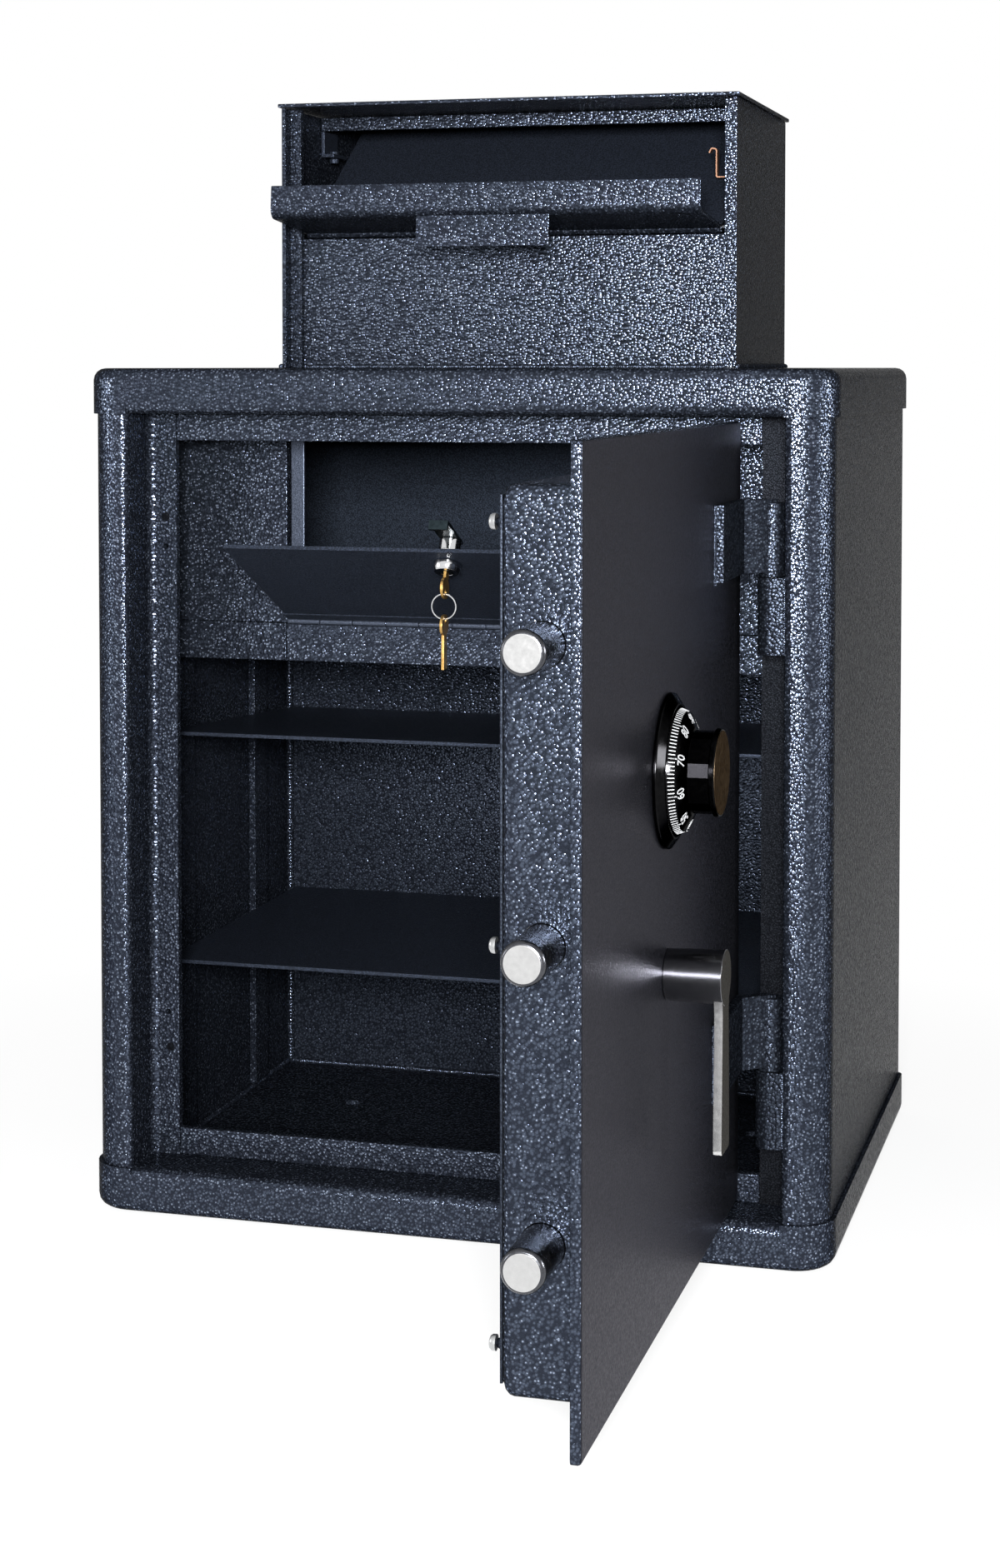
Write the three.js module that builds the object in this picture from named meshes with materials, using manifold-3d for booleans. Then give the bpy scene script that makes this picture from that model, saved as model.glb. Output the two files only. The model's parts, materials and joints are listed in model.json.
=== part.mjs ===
// Drop safe: a one-door steel safe with a pull-down deposit hopper on its roof and a keyed
// locker under the hopper. Millimetres, +Z up. The front faces -Y and the origin is the
// middle of the underside. It stands as photographed: door, hopper and locker flap open.
import * as THREE from 'three';
import { mergeVertices } from 'three/addons/utils/BufferGeometryUtils.js';
import Module from 'manifold-3d';

const wasm = await Module();
wasm.setup();

// Driving sizes of the body
const bodyWidth = 557.3;
const bodyDepth = 421;
const bodyHeight = 635;
const plate = 6.35;
const sheet = 3;
const seam = 0.3;
const overrun = 20;
const capHeight = 34;
const capOverhang = 2.9;
const postWidth = 32.65;
const flangeWidth = 22;
const recessDepth = 41.8;
const railBelow = 20.8;
const railAbove = 20.6;

// Poses in which the moving pieces stand, each measured from its closed place
const doorOpenDegrees = 90;
const hopperOpenDegrees = 84.5;
const flapOpenDegrees = 65.2;

// Places that several pieces share
const sideX = bodyWidth / 2;
const frontY = -bodyDepth / 2;
const backY = bodyDepth / 2;
const innerX = sideX - plate;
const innerBackY = backY - plate;
const recessX = sideX - postWidth;
const openingX = recessX - flangeWidth;
const openingBottom = capHeight + railBelow;
const openingTop = bodyHeight - capHeight - railAbove;
const openingHeight = openingTop - openingBottom;
const frameFrontY = frontY + recessDepth;
const frameBackY = frameFrontY + plate;
const radians = Math.PI / 180;

// Finishes
const finishes = {
  hammered: { color: 0x2b3340, roughness: 0.42, metalness: 0.25 },
  smoothPaint: { color: 0x262c36, roughness: 0.5, metalness: 0.2 },
  blackGloss: { color: 0x0d0d0f, roughness: 0.18, metalness: 0.1 },
  polished: { color: 0xd7d8d8, roughness: 0.12, metalness: 1 },
  darkOxide: { color: 0x2a2d30, roughness: 0.32, metalness: 0.9 },
  brushed: { color: 0xb9bab8, roughness: 0.3, metalness: 1 },
  zinc: { color: 0xa9abac, roughness: 0.4, metalness: 0.9 },
  brass: { color: 0xc79a3f, roughness: 0.3, metalness: 1 },
  copper: { color: 0x8b5a3a, roughness: 0.5, metalness: 0.6 },
};

const safe = new THREE.Group();

function addPiece(parent, name, geometry, finish) {
  const mesh = new THREE.Mesh(geometry, new THREE.MeshStandardMaterial(finishes[finish]));
  mesh.name = name;
  parent.add(mesh);
  return mesh;
}

// A closed solid for joining and cutting, from a geometry
function toSolid(geometry) {
  const bare = geometry.clone();
  bare.deleteAttribute('normal');
  bare.deleteAttribute('uv');
  const merged = mergeVertices(bare);
  return new wasm.Manifold(new wasm.Mesh({
    numProp: 3,
    vertProperties: new Float32Array(merged.attributes.position.array),
    triVerts: new Uint32Array(merged.index.array),
  }));
}

// The geometry of a solid
function toGeometry(solid) {
  const mesh = solid.getMesh();
  const geometry = new THREE.BufferGeometry();
  geometry.setAttribute('position', new THREE.BufferAttribute(mesh.vertProperties, 3));
  geometry.setIndex(new THREE.BufferAttribute(mesh.triVerts, 1));
  geometry.computeVertexNormals();
  return geometry;
}

// The first geometry joined to the others
function join(first, ...others) {
  const joined = others.reduce((solid, other) => solid.add(toSolid(other)), toSolid(first));
  return toGeometry(joined);
}

// The first geometry less the others
function cut(first, ...others) {
  const left = others.reduce((solid, other) => solid.subtract(toSolid(other)), toSolid(first));
  return toGeometry(left);
}

// The space that two geometries share
function common(first, second) {
  return toGeometry(toSolid(first).intersect(toSolid(second)));
}

// A block between two corners
function block(x0, x1, y0, y1, z0, z1) {
  const geometry = new THREE.BoxGeometry(x1 - x0, y1 - y0, z1 - z0);
  return geometry.translate((x0 + x1) / 2, (y0 + y1) / 2, (z0 + z1) / 2);
}

// An outline drawn in X and Y, standing from z0 to z1
function standing(points, z0, z1, holes = []) {
  const shape = new THREE.Shape(points);
  shape.holes = holes.map((hole) => new THREE.Path(hole));
  return new THREE.ExtrudeGeometry(shape, { depth: z1 - z0, bevelEnabled: false }).translate(0, 0, z0);
}

// An outline drawn in Y and Z, running from x0 to x1
function runningX(points, x0, x1) {
  const geometry = standing(points, 0, x1 - x0);
  const turn = new THREE.Matrix4().makeBasis(
    new THREE.Vector3(0, 1, 0), new THREE.Vector3(0, 0, 1), new THREE.Vector3(1, 0, 0));
  return geometry.applyMatrix4(turn).translate(x0, 0, 0);
}

// An outline drawn in X and Z, running from y0 back to y1
function runningY(points, y0, y1, holes = []) {
  const geometry = standing(points, 0, y1 - y0, holes);
  const turn = new THREE.Matrix4().makeBasis(
    new THREE.Vector3(1, 0, 0), new THREE.Vector3(0, 0, 1), new THREE.Vector3(0, -1, 0));
  return geometry.applyMatrix4(turn).translate(0, y1, 0);
}

// Points of an arc about (cx, cy), with angles in degrees
function arc(cx, cy, radius, from, to, steps = 6) {
  const points = [];
  for (let i = 0; i <= steps; i += 1) {
    const angle = (from + ((to - from) * i) / steps) * radians;
    points.push(new THREE.Vector2(cx + radius * Math.cos(angle), cy + radius * Math.sin(angle)));
  }
  return points;
}

const at = (x, y) => new THREE.Vector2(x, y);

const mirrored = (points) => points.map((point) => at(-point.x, point.y));

// A round bar along an axis from one place to another
function rodX(radius, x0, x1, y, z, sides = 20) {
  const geometry = new THREE.CylinderGeometry(radius, radius, x1 - x0, sides);
  return geometry.rotateZ(Math.PI / 2).translate((x0 + x1) / 2, y, z);
}

function rodY(radius, y0, y1, x, z, sides = 24) {
  const geometry = new THREE.CylinderGeometry(radius, radius, y1 - y0, sides);
  return geometry.translate(x, (y0 + y1) / 2, z);
}

function rodZ(radius, z0, z1, x, y, sides = 20) {
  const geometry = new THREE.CylinderGeometry(radius, radius, z1 - z0, sides);
  return geometry.rotateX(Math.PI / 2).translate(x, y, (z0 + z1) / 2);
}

// A turned shape about the Y axis through (x, z): pairs of radius and place along Y
function turnedY(profile, x, z, sides = 40) {
  const points = profile.map(([radius, y]) => at(radius, y));
  return new THREE.LatheGeometry(points, sides).translate(x, 0, z);
}

// An oblong with round corners, as points
function oblong(x0, x1, y0, y1, radius, steps = 5) {
  return [
    ...arc(x1 - radius, y1 - radius, radius, 0, 90, steps),
    ...arc(x0 + radius, y1 - radius, radius, 90, 180, steps),
    ...arc(x0 + radius, y0 + radius, radius, 180, 270, steps),
    ...arc(x1 - radius, y0 + radius, radius, 270, 360, steps),
  ];
}

// A slab over an outline, its upper edge rounded: the outline shrinks as the edge rises
function softSlab(outlineAt, height, radius, steps = 4) {
  const rings = [outlineAt(0).map((p) => [p.x, p.y, 0])];
  for (let i = 0; i <= steps; i += 1) {
    const angle = (i / steps) * (Math.PI / 2);
    const inset = radius * (1 - Math.cos(angle));
    const rise = height - radius + radius * Math.sin(angle);
    rings.push(outlineAt(inset).map((p) => [p.x, p.y, rise]));
  }
  return loft(rings);
}

// A closed solid through rings of equally many points, with fan-shaped ends
function loft(rings) {
  const count = rings[0].length;
  const positions = rings.flat(2);
  const index = [];
  for (let ring = 0; ring < rings.length - 1; ring += 1) {
    for (let i = 0; i < count; i += 1) {
      const a = ring * count + i;
      const b = ring * count + ((i + 1) % count);
      index.push(a, b, b + count, a, b + count, a + count);
    }
  }
  const top = (rings.length - 1) * count;
  for (let i = 1; i < count - 1; i += 1) {
    index.push(0, i + 1, i);
    index.push(top, top + i, top + i + 1);
  }
  const geometry = new THREE.BufferGeometry();
  geometry.setAttribute('position', new THREE.Float32BufferAttribute(positions, 3));
  geometry.setIndex(index);
  geometry.computeVertexNormals();
  return geometry;
}

// Body: bent sides, back and the two caps
const post = { outerRadius: 27, innerRadius: 5, bendRadius: 6, rearRadius: 4 };

// The bent side plate seen from above: side wall, rounded post, recess wall, frame flange
function sideOutline() {
  const t = plate;
  const outerX = sideX - post.outerRadius;
  const outerY = frontY + post.outerRadius;
  const cornerX = recessX + post.innerRadius;
  const cornerY = frontY + post.innerRadius;
  const bendX = recessX - post.bendRadius;
  const bendY = frameFrontY - post.bendRadius;
  return [
    at(innerX, backY - plate - seam),
    at(sideX, backY - plate - seam),
    ...arc(outerX, outerY, post.outerRadius, 0, -90, 8),
    ...arc(cornerX, cornerY, post.innerRadius, -90, -180, 4),
    ...arc(bendX, bendY, post.bendRadius, 0, 90, 4),
    at(openingX, frameFrontY),
    at(openingX, frameBackY),
    ...arc(bendX, bendY, post.bendRadius + t, 90, 0, 5),
    at(recessX + t, frontY + t),
    ...arc(outerX, outerY, post.outerRadius - t, -90, 0, 6),
  ];
}

function addSides() {
  const bottom = plate + seam;
  const top = bodyHeight - plate - seam;
  const right = sideOutline();
  addPiece(safe, 'right_side', standing(right, bottom, top), 'hammered');
  const left = standing(mirrored(right), bottom, top);
  const holeShares = [0.835, 0.157];
  const holeRadius = 2.2;
  const holeX = -(openingX + recessX) / 2 + holeRadius;
  const holes = holeShares.map((share) => rodY(
    holeRadius, frameFrontY - overrun, frameBackY + overrun, holeX,
    openingBottom + openingHeight * share + plate, 10));
  addPiece(safe, 'left_side', cut(left, ...holes), 'hammered');
  const r = post.rearRadius;
  const back = [
    at(-sideX, backY - plate),
    at(sideX, backY - plate),
    ...arc(sideX - r, backY - r, r, 0, 90, 4),
    ...arc(-sideX + r, backY - r, r, 90, 180, 4),
  ];
  addPiece(safe, 'back_panel', standing(back, bottom, top), 'hammered');
}

// The body seen from above, grown all round
function footprint(grow) {
  const front = post.outerRadius + grow;
  const rear = Math.max(post.rearRadius + grow, seam);
  const x = sideX + grow;
  const y0 = frontY - grow;
  const y1 = backY + grow;
  return [
    ...arc(x - rear, y1 - rear, rear, 0, 90, 4),
    ...arc(-x + rear, y1 - rear, rear, 90, 180, 4),
    ...arc(-x + front, y0 + front, front, 180, 270, 8),
    ...arc(x - front, y0 + front, front, 270, 360, 8),
  ];
}

const cap = { edgeRadius: 9, sillRadius: 8, sillSheet: 3 };

// Room that the sill leaves for the bend and the flange of a side plate
function bendRelief() {
  const bendX = recessX - post.bendRadius;
  const bendY = frameFrontY - post.bendRadius;
  return [
    at(openingX - seam, frameFrontY - seam),
    ...arc(bendX, bendY, post.bendRadius - seam, 90, 0, 4),
    at(recessX + plate, bendY),
    at(recessX + plate, frameBackY + plate),
    at(openingX - seam, frameBackY + plate),
  ];
}

// A cap as the top one stands, its upper face at height 0: a tray with a sill across the recess
function capGeometry() {
  const low = -capHeight;
  const outer = softSlab((inset) => footprint(capOverhang - inset), capHeight, cap.edgeRadius);
  const tray = cut(
    outer.translate(0, 0, low),
    standing(footprint(seam), low - overrun, -plate),
    block(-recessX + seam, recessX - seam, frontY - overrun, frontY + plate, low - overrun, -plate * 2),
  );
  const y0 = frontY - capOverhang;
  const y1 = frameBackY - seam;
  const t = cap.sillSheet;
  const cy = y0 + cap.sillRadius;
  const cz = low + cap.sillRadius;
  const sill = runningX([
    at(y0, -plate * 2 + seam),
    ...arc(cy, cz, cap.sillRadius, 180, 270, 4),
    at(y1, low),
    at(y1, low + t),
    ...arc(cy, cz, cap.sillRadius - t, 270, 180, 4),
    at(y0 + t, -plate * 2 + seam),
  ], -recessX + seam, recessX - seam);
  const corner = bendRelief();
  const reliefs = [corner, mirrored(corner)].map((points) => standing(points, low - overrun, 0));
  return join(tray, cut(sill, ...reliefs));
}

const anchor = { radius: 7, fromSide: 105.65, fromBack: 117.5 };

function addCaps() {
  const anchorX = sideX - anchor.fromSide;
  const anchorY = backY - anchor.fromBack;
  const holes = [-1, 1].flatMap((sx) => [-1, 1].map((sy) => rodZ(
    anchor.radius, -overrun, overrun, sx * anchorX, sy * anchorY, 16)));
  const bottom = addPiece(safe, 'bottom_cap', cut(capGeometry(), ...holes), 'hammered');
  bottom.rotation.y = Math.PI;
  const chuteX = head.x - sheet - head.stripWidth;
  const hole = block(-chuteX, chuteX, panelY + sheet + head.chuteFrontGap,
    headBackY - sheet - head.chuteBackGap, -overrun, overrun);
  const top = addPiece(safe, 'top_cap', cut(capGeometry(), hole), 'hammered');
  top.position.z = bodyHeight;
}

function addRails() {
  const x = openingX - seam;
  const lower = block(-x, x, frameFrontY, frameBackY, capHeight + seam, openingBottom);
  const upper = block(-x, x, frameFrontY, frameBackY, openingTop, bodyHeight - capHeight - seam);
  addPiece(safe, 'bottom_rail', lower, 'hammered');
  addPiece(safe, 'top_rail', upper, 'hammered');
}

// Locker under the hopper: floor with a front flange, jambs and header round its opening
const locker = {
  setBack: 115.8,
  floorDrop: 198.5,
  flangeHeight: 29.5,
  openingX: 162,
  openingDrop: 41,
  returnDepth: 44,
};
const lockerFrontY = frontY + locker.setBack;
const flangeTop = bodyHeight - locker.floorDrop;
const flangeBottom = flangeTop - locker.flangeHeight;
const lockerOpeningTop = bodyHeight - locker.openingDrop;
const jambBottom = flangeTop + seam;
const lockerTop = bodyHeight - plate - seam;

function addLocker() {
  const wall = innerX - seam;
  const y0 = lockerFrontY;
  const y1 = innerBackY - seam;
  const floor = runningX([
    at(y0, flangeBottom),
    at(y0 + sheet, flangeBottom),
    at(y0 + sheet, flangeTop - sheet),
    at(y1, flangeTop - sheet),
    at(y1, flangeTop),
    at(y0, flangeTop),
  ], -wall, wall);
  addPiece(safe, 'locker_floor', floor, 'hammered');
  const x = locker.openingX;
  const jamb = [
    at(x, y0),
    at(wall, y0),
    at(wall, y0 + sheet),
    at(x + sheet, y0 + sheet),
    at(x + sheet, y0 + locker.returnDepth),
    at(x, y0 + locker.returnDepth),
  ];
  addPiece(safe, 'locker_right_jamb', standing(jamb, jambBottom, lockerTop), 'hammered');
  addPiece(safe, 'locker_left_jamb', standing(mirrored(jamb), jambBottom, lockerTop), 'hammered');
  const header = block(-x + seam, x - seam, y0, y0 + sheet, lockerOpeningTop, lockerTop);
  addPiece(safe, 'locker_header', header, 'hammered');
}

// Shelves and the standards that carry them. Heights are shares of the clear height below the
// locker; the upper shelf hangs one notch lower at the rear.
const shelf = {
  overhang: 2.3,
  sideGap: 8.5,
  rearGap: 1.5,
  thickness: 3,
  lowerShare: 0.401,
  upperShare: 0.854,
  notch: 18,
};
const standard = {
  width: 30,
  depth: 6,
  fromFront: 165.5,
  fromBack: 88.5,
  bottom: 12,
  topGap: 6,
  tabReach: 14,
  tabHeight: 4,
  tabWidth: 16,
};
const shelfFrontY = lockerFrontY - shelf.overhang;
const shelfX = innerX - shelf.sideGap;
const shelfDepth = innerBackY - shelf.rearGap - shelfFrontY;
const lowerShelfTop = plate + (flangeBottom - plate) * shelf.lowerShare;
const upperShelfTop = plate + (flangeBottom - plate) * shelf.upperShare;
const upperTilt = Math.atan2(shelf.notch, shelfDepth);

function addShelves() {
  const lower = block(-shelfX, shelfX, 0, shelfDepth, -shelf.thickness, 0);
  const low = addPiece(safe, 'lower_shelf', lower, 'smoothPaint');
  low.position.set(0, shelfFrontY, lowerShelfTop);
  const upper = block(-shelfX, shelfX, 0, shelfDepth - shelf.thickness, -shelf.thickness, 0);
  const high = addPiece(safe, 'upper_shelf', upper, 'smoothPaint');
  high.position.set(0, shelfFrontY, upperShelfTop);
  high.rotation.x = -upperTilt;
}

// Height of the tilted shelf's underside at a place from front to back
function upperShelfUnderside(y) {
  const fall = (y - shelfFrontY) * Math.tan(upperTilt);
  return upperShelfTop - fall - shelf.thickness / Math.cos(upperTilt);
}

function standardGeometry(y, side) {
  const s = standard;
  const wall = innerX - seam;
  const strip = block(
    wall - s.depth, wall, y - s.width / 2, y + s.width / 2, s.bottom, flangeBottom - s.topGap);
  const tabTops = [
    lowerShelfTop - shelf.thickness - seam,
    upperShelfUnderside(y + s.tabWidth / 2) - seam,
  ];
  const tabs = tabTops.map((top) => block(
    wall - s.tabReach, wall - s.depth / 2, y - s.tabWidth / 2, y + s.tabWidth / 2, top - s.tabHeight, top));
  const geometry = join(strip, ...tabs);
  return side > 0 ? geometry : geometry.rotateZ(Math.PI).translate(0, 2 * y, 0);
}

function addStandards() {
  for (const [sideName, side] of [['left', -1], ['right', 1]]) {
    const places = [['front', frontY + standard.fromFront], ['rear', backY - standard.fromBack]];
    for (const [endName, y] of places) {
      addPiece(safe, `${sideName}_${endName}_standard`, standardGeometry(y, side), 'hammered');
    }
  }
}

// Piano hinge of the flap. The axis lies in front of the flange's upper edge.
const piano = {
  knuckleRadius: 2.6,
  pinRadius: 1.1,
  boreRadius: 1.5,
  leafSheet: 1,
  leafWidth: 13,
  rise: 2,
  pitch: 15,
  endGap: 0.6,
  flapTopGap: 2.5,
};
const flapAxisY = lockerFrontY - seam - piano.leafSheet - piano.pinRadius + piano.leafSheet / 2;
const flapAxisZ = flangeTop + piano.rise;
const flapX = locker.openingX - piano.leafSheet - seam;
const flapSize = {
  length: lockerOpeningTop - flapAxisZ - piano.flapTopGap,
  faceY: lockerFrontY - flapAxisY,
};

// Knuckles of one leaf, from its first to its last, about an axis at the origin
function knuckles(first) {
  const count = Math.floor((2 * flapX) / piano.pitch);
  const pitch = (2 * flapX) / count;
  const barrels = [];
  for (let i = first; i < count; i += 2) {
    const x0 = -flapX + i * pitch + piano.endGap / 2;
    barrels.push(rodX(piano.knuckleRadius, x0, x0 + pitch - piano.endGap, 0, 0, 10));
  }
  return barrels;
}

// One leaf of the piano hinge about an axis at the origin, rising or hanging
function leafGeometry(first, up) {
  const y0 = flapSize.faceY - seam - piano.leafSheet;
  const y1 = flapSize.faceY - seam;
  const z0 = piano.knuckleRadius / 2;
  const z1 = piano.leafWidth;
  const strip = up > 0 ? block(-flapX, flapX, y0, y1, z0, z1) : block(-flapX, flapX, y0, y1, -z1, -z0);
  const clearance = knuckles(1 - first).map((barrel) => {
    const box = new THREE.Box3().setFromBufferAttribute(barrel.attributes.position);
    const room = piano.knuckleRadius + seam;
    return block(box.min.x - seam, box.max.x + seam, -room, room, -room, room);
  });
  const whole = join(cut(strip, ...clearance), ...knuckles(first));
  return cut(whole, rodX(piano.boreRadius, -flapX - overrun, flapX + overrun, 0, 0, 10));
}

const flap = new THREE.Group();
flap.position.set(0, flapAxisY, flapAxisZ);
flap.rotation.x = flapOpenDegrees * radians;
safe.add(flap);

// Cam lock of the flap, about an axis square to the flap
const lock = {
  inset: 22,
  bodyRadius: 8,
  headRadius: 10.5,
  headDepth: 7,
  plugRadius: 5,
  bodyDepth: 17,
  nutWidth: 22,
  nutDepth: 4,
  camSheet: 2.5,
  camWidth: 14,
  camReach: 34,
  camTip: 7,
  running: 0.35,
};
const lockZ = flapSize.length - lock.inset;
const flapInnerY = flapSize.faceY + sheet;
const lockX = 4;

function addFlap() {
  const face = flapSize.faceY;
  const panel = block(-flapX, flapX, face, flapInnerY, piano.rise, flapSize.length);
  const hole = rodY(lock.bodyRadius + seam, face - overrun, face + overrun, lockX, lockZ);
  addPiece(flap, 'locker_flap', cut(panel, hole), 'smoothPaint');
  addPiece(flap, 'flap_hinge_leaf', leafGeometry(0, 1), 'hammered');
  const fixed = addPiece(safe, 'flange_hinge_leaf', leafGeometry(1, -1), 'hammered');
  fixed.position.set(0, flapAxisY, flapAxisZ);
  const pin = rodX(piano.pinRadius, -flapX, flapX, flapAxisY, flapAxisZ, 8);
  addPiece(safe, 'flap_hinge_pin', pin, 'zinc');
}

const key = {
  thickness: 2,
  bowLength: 15.5,
  bowWidth: 17,
  shankLength: 4,
  shankWidth: 8,
  holeInset: 4.5,
  holeRadius: 2.2,
  bladeLength: 24,
};

// A flat key in the plane of Y and Z: its bow's far end at the origin, its blade along +Y
function keyGeometry(shank) {
  const half = key.bowLength / 2;
  const bow = arc(half, 0, half, 24, 336, 18);
  const outline = [
    ...bow,
    at(key.bowLength + shank, -key.shankWidth / 2),
    at(key.bowLength + shank, key.shankWidth / 2),
  ].map((point, i) => (i <= 18 ? at(point.x, (point.y * key.bowWidth) / key.bowLength) : point));
  const flat = runningX(outline, -key.thickness / 2, key.thickness / 2);
  const hole = rodX(key.holeRadius, -overrun, overrun, key.holeInset, 0, 12);
  return cut(flat, hole);
}

const lockTurn = new THREE.Group();
lockTurn.position.set(lockX, flapSize.faceY, lockZ);
flap.add(lockTurn);

function addCamLock() {
  const front = flapSize.faceY - seam;
  const body = turnedY([
    [lock.plugRadius + lock.running, front - lock.headDepth],
    [lock.headRadius - sheet / 2, front - lock.headDepth],
    [lock.headRadius, front - lock.headDepth + sheet],
    [lock.headRadius, front],
    [lock.bodyRadius, front],
    [lock.bodyRadius, flapInnerY + lock.bodyDepth - sheet],
    [lock.plugRadius + lock.running, flapInnerY + lock.bodyDepth - sheet],
    [lock.plugRadius + lock.running, front - lock.headDepth],
  ], lockX, lockZ, 28);
  addPiece(flap, 'cam_lock_body', body, 'polished');
  const corner = lock.nutWidth / 2 / Math.cos(30 * radians);
  const nut = rodY(corner, flapInnerY + seam, flapInnerY + seam + lock.nutDepth, lockX, lockZ, 6);
  const bore = rodY(lock.bodyRadius + seam, front - overrun, front + overrun * 2, lockX, lockZ);
  addPiece(flap, 'cam_lock_nut', cut(nut, bore), 'zinc');

  const camY = sheet + lock.bodyDepth - sheet + seam;
  const plugFront = -seam - lock.headDepth;
  const plug = rodY(lock.plugRadius, plugFront, camY + sheet, 0, 0, 20);
  const cam = block(-lock.camWidth / 2, lock.camWidth / 2, camY, camY + lock.camSheet, -lock.bodyRadius,
    lock.camReach);
  const camRear = camY + lock.camSheet;
  const tip = block(-lock.camWidth / 2, lock.camWidth / 2, camRear - lock.camTip, camRear,
    lock.camReach - lock.camSheet, lock.camReach);
  const slot = block(-key.thickness / 2 - seam, key.thickness / 2 + seam, plugFront - seam,
    plugFront + key.shankLength + seam, -key.shankWidth / 2 - seam, key.shankWidth / 2 + seam);
  addPiece(lockTurn, 'cam_lock_cam', cut(join(plug, cam, tip), slot), 'polished');
  const whole = keyGeometry(key.shankLength * 2);
  const reach = key.bowLength + key.shankLength * 2 - (key.shankLength + plugFront);
  const lockKey = addPiece(lockTurn, 'locker_key', whole, 'brass');
  lockKey.position.y = -reach;
  return reach;
}

// Spare key on its ring, hanging plumb from the key in the lock
const ring = { radius: 9, wire: 0.8 };

function addKeyRing(reach) {
  const hang = new THREE.Group();
  hang.position.y = key.holeInset - reach;
  hang.rotation.x = -flapOpenDegrees * radians;
  lockTurn.add(hang);
  const slack = key.holeRadius - ring.wire - seam;
  const loop = new THREE.TorusGeometry(ring.radius, ring.wire, 6, 28);
  loop.rotateX(Math.PI / 2).translate(0, 0, -ring.radius - slack);
  addPiece(hang, 'key_ring', loop, 'zinc');
  const spare = keyGeometry(key.bladeLength);
  spare.translate(0, -key.holeInset, 0).rotateX(-Math.PI / 2);
  const drop = 2 * ring.radius + slack + slack;
  addPiece(hang, 'spare_key', spare.translate(0, 0, -drop), 'brass');
}

// Deposit head on the roof
const hopperSideGap = 3.3;
const head = {
  x: 182.5,
  rearGap: 30.5,
  depth: 228,
  height: 205.4,
  topSheet: 3,
  topOverhang: 2.5,
  stripWidth: 8.5,
  stripDepth: 6.7,
  panelInset: 20,
  panelHeight: 103,
  chuteFrontGap: 5,
  chuteBackGap: 9,
};
const headBackY = backY - head.rearGap;
const headFrontY = headBackY - head.depth;
const panelY = headFrontY + head.panelInset;
const panelTop = bodyHeight + head.panelHeight;
const hopper = {
  axisY: panelY + sheet / 2,
  x: head.x - sheet - head.stripWidth - hopperSideGap,
  face: 89,
  lip: 25,
  tab: 23,
  tabX: 52,
  back: 172,
  backDegrees: 141,
  pinRadius: 2.2,
  eyeRadius: 4.3,
  boreGap: 0.4,
};
const hopperAxisZ = panelTop + 2 * seam + hopper.eyeRadius;

function addHead() {
  const z0 = bodyHeight + seam;
  const z1 = bodyHeight + head.height;
  const wallX = head.x - sheet;
  const rearY = headBackY - sheet - seam;
  const stripY = panelY - seam - head.stripDepth;
  const wall = [
    at(head.x, headFrontY),
    at(head.x, rearY),
    at(wallX, rearY),
    at(wallX, panelY - seam),
    at(wallX - head.stripWidth, panelY - seam),
    at(wallX - head.stripWidth, stripY),
    at(wallX, stripY),
    at(wallX, headFrontY),
  ];
  const pinHole = rodX(hopper.pinRadius + seam, -wallX - seam, wallX + seam, hopper.axisY, hopperAxisZ, 12);
  addPiece(safe, 'head_right_wall', cut(standing(wall, z0, z1), pinHole), 'hammered');
  addPiece(safe, 'head_left_wall', cut(standing(mirrored(wall), z0, z1), pinHole), 'hammered');
  const back = block(-head.x, head.x, headBackY - sheet, headBackY, z0, z1);
  addPiece(safe, 'head_back', back, 'hammered');
  const x = wallX - seam;
  const panel = block(-x, x, panelY, panelY + sheet, z0, panelTop);
  addPiece(safe, 'head_front_panel', panel, 'hammered');
  const over = head.topOverhang;
  const top = block(-head.x - over, head.x + over, headFrontY - over, headBackY + over,
    z1 + seam, z1 + seam + head.topSheet);
  addPiece(safe, 'head_top', top, 'hammered');
}

// Angle rail under the head's top, a lock bracket on the left and a sprung strip on the right
const rail = { fromFront: 85, height: 11, width: 14 };
const bracket = { length: 34, rise: 173, x: 11, boltRadius: 4, boltReach: 4 };
const strip = { fromWall: 25.2, fromFront: 68, rise: 173, length: 25, sheet: 1, width: 8, hookRadius: 4 };

function addHeadFittings() {
  const wallX = head.x - sheet - seam;
  const z1 = bodyHeight + head.height;
  const railY = headFrontY + rail.fromFront;
  const angle = runningX([
    at(railY, z1 - rail.height),
    at(railY + sheet, z1 - rail.height),
    at(railY + sheet, z1 - sheet),
    at(railY + rail.width, z1 - sheet),
    at(railY + rail.width, z1),
    at(railY, z1),
  ], -wallX, wallX);
  addPiece(safe, 'head_cross_rail', angle, 'hammered');
  const low = bodyHeight + bracket.rise;
  const leaf = block(-wallX, -wallX + sheet, railY, railY + bracket.length, low, z1 - rail.height - seam);
  const shelfLeaf = block(-wallX, -wallX + bracket.x, railY, railY + bracket.length, low, low + sheet);
  const bolt = rodZ(bracket.boltRadius, low - bracket.boltReach, low + sheet * 2,
    -wallX + bracket.x / 2, railY + bracket.length / 2, 6);
  addPiece(safe, 'head_bracket', join(leaf, shelfLeaf, bolt), 'smoothPaint');
  addSpringStrip(wallX);
}

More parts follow.
